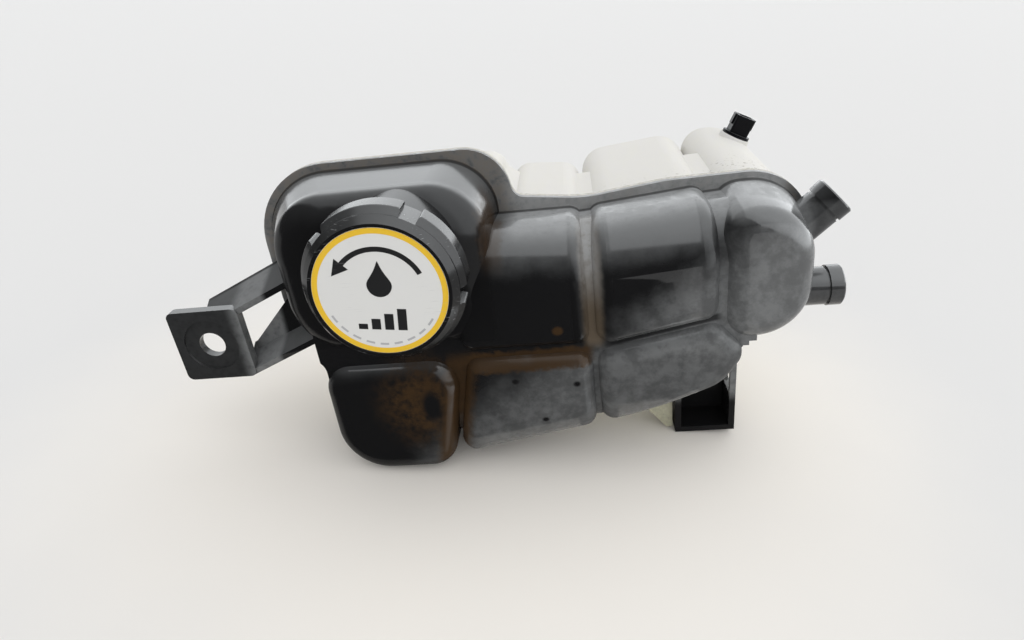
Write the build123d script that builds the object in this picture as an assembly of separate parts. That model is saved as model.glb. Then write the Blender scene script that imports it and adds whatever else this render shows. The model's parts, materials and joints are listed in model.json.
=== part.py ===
from build123d import *
import math
import os

# Sizes are in millimetres. The tank is drawn on its own datum: the filler axis meets the weld plane at
# the origin, X runs along the tank, Z across it, and the cap points to -Y. A last step lays it down.

# Walls and the weld between the two halves
SMALL = 0.01
WALL = 2.8
BAFFLE_WALL = 2.4
FLANGE_WIDTH = 2.6
FLANGE_THICK = 2.4
LYING_ROLL = 6.5

# Outline of the tank in the weld plane, inside the flange
LEFT_X = -71.3
CAP_LOBE_TOP = 27.9
CAP_LOBE_RIGHT = 38.0
CAP_LOBE_LOW = -44.0
LOWER_LEFT_TOP = 16.5
STEP_X = 43.0
STEP_Z = 5.0
SADDLE_Z = 1.4
CREST_X = 112.0
CREST_Z = 5.8
END_LOBE_WIDTH = 41.0
RIGHT_TOP = 7.0
RIGHT_LOW = -56.0
BASE_RIGHT_X = 144.5
BASE_RIGHT_Z = -100.5
BASE_LEFT_Z = -109.0
LOWER_LEFT_X = -48.0
CAP_END_ROUND = 33.0
STEP_ROUND = 18.0
NOTCH_ROUND = 9.0
LOWER_STEP_ROUND = 9.0
SADDLE_ROUND = 60.0
WAIST_ROUND = 6.0
BASE_ROUND = 36.0
REST_ROUND = 24.0
ARM_CORNER_ROUND = 16.0

# Grooves between the lobes, which are also the lines of the baffles inside
MID_GROOVE_X = 76.0
RIGHT_GROOVE_X = 129.0
LOW_GROOVE_X = 18.5
LOW_GROOVE_SLANT = 0.2
CROSS_GROOVE_Z = -52.0
CROSS_RISE = 0.2
GROOVE_WIDTH = 2.0
GROOVE_DEPTH = 3.2
LOBE_RISE = 0.095
CORE_SET_IN = 2.0
LOWER_CORE_SET_IN = 3.4
LOWER_GROOVE_SHIFT = 2.5
FLOW_HOLE_R = 5.0
LOW_HOLE_Z = -75.0

# How far each lobe stands off the weld plane
CAP_LOBE_DEPTH = 42.0
MID_LOBE_DEPTH = 41.0
CREST_LOBE_DEPTH = 44.0
END_LOBE_DEPTH = 42.0
REST_LOBE_DEPTH = 44.0
LOW_LOBE_DEPTH = 43.0
LOWER_LEFT_DEPTH = 60.0
LOWER_MID_DEPTH = 75.0
LOWER_CREST_DEPTH = 99.0
LOWER_END_DEPTH = 101.0

# How far the walls of the end lobes lean in towards their crowns
CAP_LOBE_LEAN_LEFT = 19.0
CAP_LOBE_LEAN = 4.0
END_LOBE_LEAN = 6.0
END_LOBE_LEAN_TOP = 3.0

# Rounding of the right end lobe, and the flat that its top and its underside keep between two corners
END_CROWN = 9.6
END_CORNER = 12.5
END_FLAT = 3.5

# Rounding of the lobes
CAP_LOBE_CROWN = 15.0
CAP_LOBE_CORNER = 24.0
SHOULDER_ROUND = 25.0
UNDERSIDE_ROUND = 36.0
LOW_UNDERSIDE_ROUND = 24.0
LEDGE_ROUND = 8.0
GROOVE_EDGE_ROUND = 6.5
REST_CROWN = 9.0
REST_CORNER = 13.0
LOWER_CROWN = 11.0
LOWER_CORNER = 13.0
LOWER_MID_CROWN = 8.0
LOWER_MID_CORNER = 9.0

# Lower lobes of the cap side
LOW_LOBE_LEFT_Z = -114.0
LOW_LOBE_RISE = 0.2
LOW_RIGHT_CUT_X = 90.0
LOW_RIGHT_X = 141.0
LOW_RIGHT_CORNER = 9.0
LOW_RIGHT_TURN_X = 130.5
LOW_RIGHT_ROUND = 18.0
LOW_RIGHT_LIFT = 4.5
LOW_RIGHT_SLOPE = 0.5

# Filler neck and cap
NECK_R = 24.4
NECK_WALL = 3.2
NECK_TIP = 72.0
CAP_BORE_R = 26.6
CAP_WALL = 2.2
CAP_ROOF = 4.0
CAP_SKIRT = 16.5
CAP_CROWN_R = 26.4
CAP_SHOULDER = 3.0
GRIP_HEIGHT = 2.2
GRIP_COUNT = 5
GRIP_GAP_DEG = 13.0
GRIP_TURN_DEG = 25.0
GRIP_LIP = 1.5
GRIP_SLOPE = 7.0
GRIP_ROUND = 1.0
SNAP_COUNT = 3
SNAP_WIDTH_DEG = 24.0
SNAP_REACH = 1.5
SNAP_THICK = 0.9
LABEL_R = 25.0
LABEL_THICK = 0.5
LABEL_SUNK = 0.8
LABEL_CLEAR = 0.25
CAP_PLAY = 0.3

# Valve insert of the cap
PLUG_CLEAR = 0.6
PLUG_DEPTH = 21.0
PLUG_RIM = 1.4
PLUG_RIM_R = 26.0
PLUG_ROOF = 3.0
PLUG_BORE_R = 15.0
SEAL_CORD_R = 1.3
SEAL_CLEAR = 0.15
SEAL_FLOOR = 0.05
SEAL_FROM_END = 7.0
RETAINER_THICK = 2.0
RETAINER_R = 17.0
SEAT_HOLE_R = 8.0
VALVE_R = 13.4
VALVE_SEAL_THICK = 1.5
VALVE_SEAL_CLEAR = 1.0
VALVE_PLATE_THICK = 1.6
VALVE_GAP = 0.1
RELIEF_WIRE_R = 0.9
RELIEF_COIL_R = 10.5
RELIEF_TURNS = 4.0
VACUUM_HEAD_R = 5.4
VACUUM_STEM_R = 1.5
VACUUM_STEM_CLEAR = 0.3
VACUUM_SPRING_LENGTH = 4.4
VACUUM_WIRE_R = 0.35
VACUUM_COIL_R = 2.6
VACUUM_TURNS = 4.0
KEEPER_THICK = 1.2
KEEPER_R = 3.6
KEEPER_CLEAR = 0.05
VENT_R = 1.5
VENT_COUNT = 4

# Arm bracket
PLATE_X = -104.8
PLATE_Z = -45.2
PLATE_WIDTH = 35.0
PLATE_HEIGHT = 36.5
PLATE_THICK = 5.0
PLATE_FRONT = 24.0
PLATE_CORNER = 3.0
EYE_R = 6.3
EYE_RECESS_R = 13.2
EYE_RECESS = 1.0
ARM_DEPTH = 20.0
ARM_WALL = 3.2
ARM_TILT = 20.0
ARM_SLOPE = 0.43
HIGH_ARM_LEFT_X = -108.0
HIGH_ARM_LEFT_Z = -34.0
HIGH_ARM_RIGHT_X = -60.0
LOW_ARM_LEFT_X = -92.0
LOW_ARM_LEFT_Z = -59.5
LOW_ARM_RIGHT_X = -46.0
ARM_WEB = 2.6
WEB_BACK = 8.0
WEB_LEFT_X = -90.0
WEB_RIGHT_X = -60.0
WEB_TOP_Z = -22.0

# Hose stubs
STUB_R = 8.5
STUB_BORE_R = 6.0
STUB_BEAD_R = 9.0
STUB_BEAD = 6.0
STUB_LIP = 0.6
STUB_GROOVE = 1.0
STUB_GROOVE_DEPTH = 0.5
STUB_INSIDE = 11.0
STUB_DEPTH = 14.0
HIGH_STUB_Z = -9.5
HIGH_STUB_ANGLE = 42.0
HIGH_STUB_LENGTH = 13.5
LOW_STUB_Z = -42.0
LOW_STUB_LENGTH = 16.5
PIP_Z = -28.5
PIP_HEIGHT = 6.0
PIP_REACH = 3.6
PIP_THICK = 3.0

# Foot under the right end, and the web of the far half beside it
FOOT_LEFT = 115.5
FOOT_WIDTH = 30.0
FOOT_WALL = 3.0
FOOT_BACK = 18.0
FOOT_CLEAR = 1.0
GUSSET_REACH = 50.0
GUSSET_KNEE = 17.0
GUSSET_DROP = 3.0
GUSSET_WALL = 3.0
GUSSET_OVERLAP = 1.0

# Level sensor
SENSOR_DEPTH = 74.0
SENSOR_ANGLE = 63.0
SENSOR_BOSS_R = 7.8
SENSOR_BOSS = 1.4
SENSOR_BOSS_ROOT = 5.0
WELL_BORE_R = 4.3
WELL_WALL = 1.8
WELL_LENGTH = 20.0
STEM_CLEAR = 0.3
SENSOR_FLANGE = 1.5
SENSOR_FLANGE_R = 7.2
SENSOR_SEAL_R = 6.2
SEAL_SLACK = 0.1
SOCKET_WIDTH = 9.8
SOCKET_HEIGHT = 9.0
SOCKET_LENGTH = 9.2
SOCKET_WALL = 1.3
SOCKET_FLOOR = 2.2
SOCKET_ROUND = 1.0
RAIL_REACH = 0.9
RAIL_BITE = 0.2
RAIL_WIDTH = 3.6
RAIL_LENGTH = 5.5
BLADE_WIDTH = 2.4
BLADE_THICK = 0.8
BLADE_LENGTH = 6.0
BLADE_PITCH = 4.4
REED_R = 1.4
REED_ROUND = 1.25
REED_LENGTH = 13.0
REED_CLEAR = 0.2

# Float on its guide peg
PEG_Z = -38.0
PEG_R = 4.0
PEG_FOOT_R = 6.4
PEG_TIP = 3.0
FLOAT_R = 11.0
FLOAT_HEIGHT = 14.0
FLOAT_ROUND = 1.5
FLOAT_CLEAR = 0.4
FLOAT_TRAVEL = 22.0
MAGNET_BORE_R = 5.7
MAGNET_WALL = 2.2
MAGNET_HEIGHT = 4.0
MAGNET_CLEAR = 0.1
CLIP_R = 7.0
CLIP_THICK = 1.0
CLIP_GROOVE = 0.5
CLIP_CLEAR = 0.1
CLIP_SLIT = 2.0


def corner_points(before, corner, after, radius):
    """Start, middle and end of the arc that rounds a corner."""
    to_before = (before - corner).normalized()
    to_after = (after - corner).normalized()
    half = math.radians(to_before.get_angle(to_after)) / 2
    reach = radius / math.tan(half)
    bisector = (to_before + to_after).normalized()
    middle = corner + bisector * (radius / math.sin(half) - radius)
    return corner + to_before * reach, middle, corner + to_after * reach


def rounded_face(points, radii):
    """Flat face of straight runs whose corners are rounded. A radius of zero leaves a corner sharp."""
    count = len(points)
    ends = []
    for i in range(count):
        if radii[i]:
            ends.append(corner_points(points[i - 1], points[i], points[(i + 1) % count], radii[i]))
        else:
            ends.append((points[i], None, points[i]))
    edges = []
    for i in range(count):
        if radii[i]:
            edges.append(Edge.make_three_point_arc(*ends[i]))
        edges.append(Edge.make_line(ends[i][2], ends[(i + 1) % count][0]))
    return Face(Wire(edges))


def plan_face(corners):
    """Face in the weld plane from corners given as (x, z, radius)."""
    return rounded_face([Vector(x, 0, z) for x, z, _ in corners], [radius for _, _, radius in corners])


def pulled_in(corners, inset):
    """The outline moved inwards by one distance. Corners run clockwise as seen from the cap."""
    count = len(corners)
    runs = []
    for i in range(count):
        start = Vector(*corners[i][:2])
        along = (Vector(*corners[(i + 1) % count][:2]) - start).normalized()
        runs.append((start + Vector(along.Y, -along.X) * inset, along))
    moved = []
    for i in range(count):
        (p, a), (q, b) = runs[i - 1], runs[i]
        turn = a.X * b.Y - a.Y * b.X
        reach = ((q - p).X * b.Y - (q - p).Y * b.X) / turn
        corner = p + a * reach
        radius = corners[i][2]
        if radius:
            radius += inset if turn > 0 else -inset
        moved.append((corner.X, corner.Y, radius))
    return moved


def sharp_edges(solid):
    """Edges where two faces meet at an angle, apart from those in the weld plane."""
    found = []
    for edge in solid.edges():
        box = edge.bounding_box()
        if max(abs(box.min.Y), abs(box.max.Y)) < SMALL:
            continue
        faces = [face for face in solid.faces() if any(edge.is_same(other) for other in face.edges())]
        middle = edge @ 0.5
        if len(faces) == 2 and faces[0].normal_at(middle).get_angle(faces[1].normal_at(middle)) > 8:
            found.append(edge)
    return found


def plan_lobe(corners, depth, crown, side, wall=0.0):
    """A lobe with upright walls and one rounding all round its crown."""
    body = extrude(plan_face(pulled_in(corners, wall)), depth - wall, (0, side, 0))
    return fillet(sharp_edges(body), crown - wall)


def leaning_lobe(corners, crown_corners, depth, crown, wall=0.0):
    """A lobe of the cap side whose walls run straight from one plan to a smaller one at its crown."""
    foot_plan = plan_face(pulled_in(corners, wall))
    crown_plan = Pos(0, wall - depth, 0) * plan_face(pulled_in(crown_corners, wall))
    body = Solid.make_loft([foot_plan.outer_wire(), crown_plan.outer_wire()], ruled=True)
    edges = [edge for edge in body.edges() if abs(edge.bounding_box().max.Y - wall + depth) < SMALL]
    return fillet(edges, crown - wall)


def ridge(left, right, top, low, rise, depth, top_round, low_round, wall=0.0):
    """A prism along the tank whose section has a rounded top and a rounded underside."""
    front = -(depth - wall)
    high = top - wall
    deep = low + wall
    section = [Vector(left, y, z) for y, z in ((0, high), (front, high), (front, deep), (0, deep))]
    face = rounded_face(section, [0, top_round - wall, low_round - wall, 0])
    return Solid.extrude(face, Vector(right - left, 0, rise * (right - left)))


def ridge_lobe(corners, top, low, rises, depth, top_round, low_round, wall=0.0):
    """A lobe cut from a ridge by the walls of its plan. Heights are those at its left end."""
    left = min(x for x, _, _ in corners)
    right = max(x for x, _, _ in corners) + GROOVE_WIDTH
    start = left - GROOVE_WIDTH
    far = 2 * BASE_LEFT_Z
    top_rise, low_rise = rises
    start_top = top - top_rise * GROOVE_WIDTH
    start_low = low - low_rise * GROOVE_WIDTH
    if low_rise == top_rise:
        body = ridge(start, right, start_top, start_low, top_rise, depth, top_round, low_round, wall)
    else:
        body = ridge(start, right, start_top, far, top_rise, depth, top_round, low_round, wall)
        body &= ridge(start, right, -far, start_low, low_rise, depth, top_round, low_round, wall)
    lobe = body & extrude(plan_face(pulled_in(corners, wall)), 2 * depth, (0, -1, 0))
    return fillet(sharp_edges(lobe), GROOVE_EDGE_ROUND - wall)


hanging = (Align.CENTER, Align.CENTER, Align.MAX)
standing = (Align.CENTER, Align.CENTER, Align.MIN)
half_gap = GROOVE_WIDTH / 2
mid_left = MID_GROOVE_X - half_gap
mid_right = MID_GROOVE_X + half_gap
end_left = RIGHT_GROOVE_X - half_gap
end_right = RIGHT_GROOVE_X + half_gap
low_left = LOW_GROOVE_X - half_gap
low_right = LOW_GROOVE_X + half_gap
above_cross = CROSS_GROOVE_Z + half_gap
below_cross = CROSS_GROOVE_Z - half_gap
rest_z = BASE_LEFT_Z - FLANGE_WIDTH
right_x = end_right + END_LOBE_WIDTH
end_round = END_LOBE_WIDTH - END_CORNER - END_FLAT
waist_x = right_x - end_round - FLANGE_WIDTH

outline = [
    (LEFT_X, CAP_LOBE_TOP, CAP_END_ROUND),
    (CAP_LOBE_RIGHT, CAP_LOBE_TOP, STEP_ROUND),
    (STEP_X, STEP_Z, NOTCH_ROUND),
    (MID_GROOVE_X, SADDLE_Z, SADDLE_ROUND),
    (CREST_X, CREST_Z, SADDLE_ROUND),
    (right_x, RIGHT_TOP, end_round),
    (right_x, RIGHT_LOW, end_round),
    (waist_x, RIGHT_LOW, 0),
    (BASE_RIGHT_X, BASE_RIGHT_Z, BASE_ROUND),
    (LOW_GROOVE_X, BASE_LEFT_Z, SADDLE_ROUND),
    (LOWER_LEFT_X, BASE_LEFT_Z, REST_ROUND),
    (LOWER_LEFT_X, CROSS_GROOVE_Z, WAIST_ROUND),
    (LEFT_X, CAP_LOBE_LOW, ARM_CORNER_ROUND),
]


def base_z(x):
    """Height of the tank's lower edge to the right of the lobe that it lies on."""
    slope = (BASE_RIGHT_Z - BASE_LEFT_Z) / (BASE_RIGHT_X - LOW_GROOVE_X)
    return BASE_LEFT_Z + slope * (x - LOW_GROOVE_X)


def band(left, right):
    """Plan of a lobe between two upright grooves, open above and below."""
    return [(left, 2 * CAP_LOBE_TOP, 0), (right, 2 * CAP_LOBE_TOP, 0),
            (right, 2 * BASE_LEFT_Z, 0), (left, 2 * BASE_LEFT_Z, 0)]


def low_groove_shift(z):
    """How far the slanting groove beside the resting lobe has moved at a given height."""
    return LOW_GROOVE_SLANT * (z - CROSS_GROOVE_Z)


def shrunk(corners, left, top, right, low, rounds):
    """A plan whose four sides are moved in by their own distances, with its own corner rounding."""
    moves = ((left, -top), (-right, -top), (-right, low), (left, low))
    return [(x + dx, z + dz, radius) for (x, z, _), (dx, dz), radius in zip(corners, moves, rounds)]


cap_lobe_plan = [
    (LEFT_X, CAP_LOBE_TOP, CAP_END_ROUND),
    (CAP_LOBE_RIGHT, CAP_LOBE_TOP, CAP_LOBE_CORNER),
    (CAP_LOBE_RIGHT, above_cross, CAP_LOBE_CORNER),
    (LEFT_X, above_cross, CAP_END_ROUND),
]
cap_crown_plan = shrunk(cap_lobe_plan, CAP_LOBE_LEAN_LEFT, CAP_LOBE_LEAN, CAP_LOBE_LEAN, CAP_LOBE_LEAN,
                        (CAP_LOBE_CORNER, CAP_LOBE_CORNER, CAP_LOBE_CORNER, CAP_LOBE_CORNER))
end_lobe_plan = [
    (end_right, RIGHT_TOP, END_CORNER),
    (right_x, RIGHT_TOP, end_round),
    (right_x, RIGHT_LOW, end_round),
    (end_right, RIGHT_LOW + half_gap, END_CORNER),
]
crown_round = end_round - END_LOBE_LEAN_TOP
end_crown_plan = shrunk(end_lobe_plan, 0, END_LOBE_LEAN_TOP, END_LOBE_LEAN, END_LOBE_LEAN_TOP,
                        (END_CORNER, crown_round, crown_round, END_CORNER))
rest_lobe_plan = [
    (LOWER_LEFT_X, below_cross, REST_CORNER),
    (low_left, below_cross, REST_CORNER),
    (low_left + low_groove_shift(rest_z), rest_z, REST_CORNER),
    (LOWER_LEFT_X, rest_z, REST_ROUND),
]
low_mid_low_z = LOW_LOBE_LEFT_Z - GROOVE_WIDTH
low_mid_lobe_plan = [
    (low_right + low_groove_shift(0), 0, 0),
    (mid_left, 0, 0),
    (mid_left, low_mid_low_z, 0),
    (low_right + low_groove_shift(low_mid_low_z), low_mid_low_z, 0),
]
low_right_low_z = base_z(mid_right) + LOW_RIGHT_LIFT
low_right_turn_z = low_right_low_z + LOW_RIGHT_SLOPE * (LOW_RIGHT_TURN_X - mid_right)
low_right_lobe_plan = [
    (mid_right, 0, 0),
    (LOW_RIGHT_CUT_X, 0, 0),
    (LOW_RIGHT_X, RIGHT_LOW - GROOVE_WIDTH, LOW_RIGHT_CORNER),
    (LOW_RIGHT_TURN_X, low_right_turn_z, LOW_RIGHT_ROUND),
    (mid_right, low_right_low_z, 0),
]
lower_outline = [
    (LEFT_X, LOWER_LEFT_TOP, CAP_END_ROUND),
    (CAP_LOBE_RIGHT, LOWER_LEFT_TOP, LOWER_STEP_ROUND),
    *outline[2:],
]
lower_left_plan = [
    (LEFT_X, LOWER_LEFT_TOP, CAP_END_ROUND),
    (CAP_LOBE_RIGHT, LOWER_LEFT_TOP, LOWER_STEP_ROUND),
    (CAP_LOBE_RIGHT, rest_z, LOWER_CORNER),
    (LOWER_LEFT_X, rest_z, REST_ROUND),
    (LOWER_LEFT_X, CROSS_GROOVE_Z, WAIST_ROUND),
    (LEFT_X, CAP_LOBE_LOW, ARM_CORNER_ROUND),
]
lower_mid_left = CAP_LOBE_RIGHT + GROOVE_WIDTH
lower_mid_plan = [
    (lower_mid_left, STEP_Z - half_gap, LOWER_MID_CORNER),
    (mid_left, SADDLE_Z, LOWER_MID_CORNER),
    (mid_left, base_z(mid_left), LOWER_MID_CORNER),
    (lower_mid_left, base_z(lower_mid_left), LOWER_MID_CORNER),
]
lower_end_left = end_left + LOWER_GROOVE_SHIFT
lower_crest_plan = [
    (mid_right, SADDLE_Z, LOWER_CORNER),
    (lower_end_left, RIGHT_TOP, LOWER_CORNER),
    (BASE_RIGHT_X - half_gap, BASE_RIGHT_Z, LOWER_CORNER),
    (mid_right, base_z(mid_right), LOWER_CORNER),
]
end_rounds = [radius for _, _, radius in end_lobe_plan]
lower_end_plan = shrunk(end_lobe_plan, LOWER_GROOVE_SHIFT, 0, 0, 0, end_rounds)


def upper_lobes(wall=0.0):
    """The seven lobes of the cap side, or their hollows when a wall is given."""
    return [
        leaning_lobe(cap_lobe_plan, cap_crown_plan, CAP_LOBE_DEPTH, CAP_LOBE_CROWN, wall),
        ridge_lobe(band(LOW_GROOVE_X - GROOVE_WIDTH, mid_left), SADDLE_Z, above_cross, (0, 0),
                   MID_LOBE_DEPTH, SHOULDER_ROUND, LEDGE_ROUND, wall),
        ridge_lobe(band(mid_right, end_left), SADDLE_Z, above_cross, (LOBE_RISE, CROSS_RISE),
                   CREST_LOBE_DEPTH, SHOULDER_ROUND, LEDGE_ROUND, wall),
        leaning_lobe(end_lobe_plan, end_crown_plan, END_LOBE_DEPTH, END_CROWN, wall),
        plan_lobe(rest_lobe_plan, REST_LOBE_DEPTH, REST_CROWN, -1, wall),
        ridge_lobe(low_mid_lobe_plan, below_cross, LOW_LOBE_LEFT_Z, (0, LOW_LOBE_RISE),
                   LOW_LOBE_DEPTH, LEDGE_ROUND, LOW_UNDERSIDE_ROUND, wall),
        ridge_lobe(low_right_lobe_plan, below_cross, base_z(mid_right), (CROSS_RISE, LOBE_RISE),
                   LOW_LOBE_DEPTH, LEDGE_ROUND, UNDERSIDE_ROUND, wall),
    ]


def lower_lobes(wall=0.0):
    """The four lobes of the far side, or their hollows when a wall is given."""
    return [
        plan_lobe(lower_left_plan, LOWER_LEFT_DEPTH, LOWER_CROWN, 1, wall),
        plan_lobe(lower_mid_plan, LOWER_MID_DEPTH, LOWER_MID_CROWN, 1, wall),
        plan_lobe(lower_crest_plan, LOWER_CREST_DEPTH, LOWER_CROWN, 1, wall),
        plan_lobe(lower_end_plan, LOWER_END_DEPTH, END_CROWN, 1, wall),
    ]


slope = math.radians(LYING_ROLL)
core_rise = (BASE_RIGHT_Z - BASE_LEFT_Z) / (BASE_RIGHT_X - LOW_GROOVE_X)
core_depth = MID_LOBE_DEPTH - GROOVE_DEPTH
lower_core_depth = LOWER_LEFT_DEPTH - GROOVE_DEPTH


def block(x_range, y_range, z_range):
    """A box given by its limits along each axis."""
    sizes = [high - low for low, high in (x_range, y_range, z_range)]
    middle = [(high + low) / 2 for low, high in (x_range, y_range, z_range)]
    return Pos(*middle) * Box(*sizes)


def upper_core(wall=0.0):
    """What lies at the bottom of the grooves on the cap side."""
    left = LOWER_LEFT_X
    lead = core_rise * (left - MID_GROOVE_X)
    body = ridge(left, BASE_RIGHT_X, SADDLE_Z - CORE_SET_IN + lead, base_z(left) + CORE_SET_IN, core_rise,
                 core_depth, SHOULDER_ROUND - GROOVE_DEPTH, UNDERSIDE_ROUND - GROOVE_DEPTH, wall)
    body &= extrude(plan_face(pulled_in(outline, CORE_SET_IN + wall)), core_depth, (0, -1, 0))
    bridge = block((LOWER_LEFT_X + CORE_SET_IN + REST_CROWN + wall, LOW_GROOVE_X - wall),
                   (wall - core_depth, 0),
                   (below_cross - 2 * REST_CROWN + wall, above_cross + REST_CROWN - wall))
    rise = CORE_SET_IN + wall
    below = [
        (mid_right, low_right_low_z + rise, 0),
        (LOW_RIGHT_TURN_X - rise, low_right_turn_z + rise, 0),
        (LOW_RIGHT_X - rise, RIGHT_LOW, 0),
        (2 * BASE_RIGHT_X, RIGHT_LOW, 0),
        (2 * BASE_RIGHT_X, 2 * BASE_LEFT_Z, 0),
        (mid_right, 2 * BASE_LEFT_Z, 0),
    ]
    return body + bridge - extrude(plan_face(below), 2 * core_depth, (0, -1, 0))


def lower_core(wall=0.0):
    """What lies at the bottom of the grooves on the far side."""
    plan = pulled_in(lower_outline, LOWER_CORE_SET_IN + wall)
    return extrude(plan_face(plan), lower_core_depth - wall, (0, 1, 0))


def baffles():
    """Walls inside the tank along the lines of the grooves."""
    reach = (-CAP_LOBE_DEPTH, LOWER_END_DEPTH)
    height = (2 * BASE_LEFT_Z, 2 * CAP_LOBE_TOP)
    half = BAFFLE_WALL / 2
    walls = [block((x - half, x + half), reach, height) for x in (MID_GROOVE_X, RIGHT_GROOVE_X)]
    low_x = LOW_GROOVE_X + low_groove_shift(2 * BASE_LEFT_Z)
    slanting = [(LOW_GROOVE_X - half, CROSS_GROOVE_Z, 0), (LOW_GROOVE_X + half, CROSS_GROOVE_Z, 0),
                (low_x + half, 2 * BASE_LEFT_Z, 0), (low_x - half, 2 * BASE_LEFT_Z, 0)]
    walls.append(Pos(0, reach[0], 0) * extrude(plan_face(slanting), reach[1] - reach[0], (0, 1, 0)))
    walls.append(block((LOWER_LEFT_X, RIGHT_GROOVE_X), reach, (CROSS_GROOVE_Z - half, CROSS_GROOVE_Z + half)))
    return walls


def flow_holes():
    """Holes that let the coolant pass from one chamber to the next."""
    length = GROOVE_WIDTH + 4 * WALL
    along = Rot(0, 90, 0) * Cylinder(FLOW_HOLE_R, length)
    holes = []
    for y in (-core_depth / 2, lower_core_depth / 2):
        for x, z in ((MID_GROOVE_X, CROSS_GROOVE_Z / 2), (MID_GROOVE_X, LOW_HOLE_Z),
                     (RIGHT_GROOVE_X, CROSS_GROOVE_Z / 2),
                     (LOW_GROOVE_X + low_groove_shift(LOW_HOLE_Z), LOW_HOLE_Z)):
            holes.append(Pos(x, y, z) * along)
        for x in ((LOW_GROOVE_X + MID_GROOVE_X) / 2, (MID_GROOVE_X + RIGHT_GROOVE_X) / 2):
            holes.append(Pos(x, y, CROSS_GROOVE_Z) * Cylinder(FLOW_HOLE_R, length))
    return holes


def hollowed(body, core, lobes):
    """The half with its chambers taken out and its baffles left standing."""
    chamber = core(WALL) - baffles()
    return body - lobes(WALL) - chamber - flow_holes()


def flange(side):
    """Weld flange of one half, still filled."""
    return extrude(plan_face(pulled_in(outline, -FLANGE_WIDTH)), FLANGE_THICK, (0, side, 0))


# The floor that the tank lies on, as a distance from the datum along the fall line
rest_centre = (LOWER_LEFT_X + REST_ROUND, rest_z + REST_ROUND)
floor_drop = REST_ROUND - rest_centre[0] * math.sin(slope) - rest_centre[1] * math.cos(slope)


def floor_z(x):
    """Height of the floor below a point of the weld plane."""
    return -(floor_drop + x * math.sin(slope)) / math.cos(slope)


def end_wall_x(z):
    """Where the right end lobe's wall stands at a given height."""
    centre_z = RIGHT_TOP - end_round if z > (RIGHT_TOP + RIGHT_LOW) / 2 else RIGHT_LOW + end_round
    return right_x - end_round + math.sqrt(end_round**2 - (z - centre_z) ** 2)


def stub_place(z, angle):
    """Where a hose stub leaves the wall, with its axis along local Z."""
    tilt = math.radians(angle)
    direction = (math.cos(tilt), 0, math.sin(tilt))
    return Plane((end_wall_x(z), -STUB_DEPTH, z), x_dir=(0, 1, 0), z_dir=direction).location


high_stub = stub_place(HIGH_STUB_Z, HIGH_STUB_ANGLE)
low_stub = stub_place(LOW_STUB_Z, 0)


def turned(points):
    """A ring or disc turned about local Z from a profile of (radius, height) points."""
    return revolve(Face(Wire.make_polygon([Vector(r, 0, h) for r, h in points])), Axis.Z)


def stub_body(length):
    """Hose stub with a groove and a bead at its mouth."""
    bead = length - STUB_BEAD
    waist = STUB_R - STUB_GROOVE_DEPTH
    return turned([
        (0, -STUB_INSIDE), (STUB_R, -STUB_INSIDE), (STUB_R, bead - STUB_GROOVE),
        (waist, bead - STUB_GROOVE), (waist, bead), (STUB_BEAD_R, bead),
        (STUB_BEAD_R, length - STUB_LIP), (STUB_BEAD_R - STUB_LIP, length), (0, length),
    ])


def stub_bore(length):
    """The way through a hose stub into the tank."""
    return Pos(0, 0, -STUB_INSIDE) * Cylinder(
        STUB_BORE_R, length + 2 * STUB_INSIDE, align=standing)


def strap(left, left_z, right):
    """A ribbon of the bracket that rises to the right, with its far edge tilted up."""
    length = (right - left) * math.hypot(1, ARM_SLOPE)
    middle_z = left_z + ARM_SLOPE * (right - left) / 2
    bar = Rot(ARM_TILT, 0, 0) * Box(length, ARM_DEPTH, ARM_WALL)
    lean = -math.degrees(math.atan(ARM_SLOPE))
    reach = ARM_DEPTH * math.cos(math.radians(ARM_TILT)) / 2
    return Pos((left + right) / 2, reach - PLATE_FRONT + EYE_RECESS, middle_z) * Rot(0, lean, 0) * bar


def arm_bracket():
    """Plate with the fixing eye, and the two ribbons and the web that carry it."""
    plate = Pos(PLATE_X, PLATE_THICK / 2 - PLATE_FRONT, PLATE_Z) * Box(PLATE_WIDTH, PLATE_THICK, PLATE_HEIGHT)
    plate = fillet(plate.edges().filter_by(Axis.Y), PLATE_CORNER)
    high = strap(HIGH_ARM_LEFT_X, HIGH_ARM_LEFT_Z, HIGH_ARM_RIGHT_X)
    low = strap(LOW_ARM_LEFT_X, LOW_ARM_LEFT_Z, LOW_ARM_RIGHT_X)
    web_low_left = LOW_ARM_LEFT_Z + ARM_SLOPE * (WEB_LEFT_X - LOW_ARM_LEFT_X)
    web_low_right = LOW_ARM_LEFT_Z + ARM_SLOPE * (WEB_RIGHT_X - LOW_ARM_LEFT_X)
    corners = [(WEB_LEFT_X, web_low_left + 2 * ARM_WALL, 0), (WEB_RIGHT_X, WEB_TOP_Z, 0),
               (WEB_RIGHT_X, web_low_right, 0), (WEB_LEFT_X, web_low_left, 0)]
    web = Pos(0, -WEB_BACK, 0) * extrude(plan_face(corners), ARM_WEB, (0, -1, 0))
    return plate + high + low + web


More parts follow.
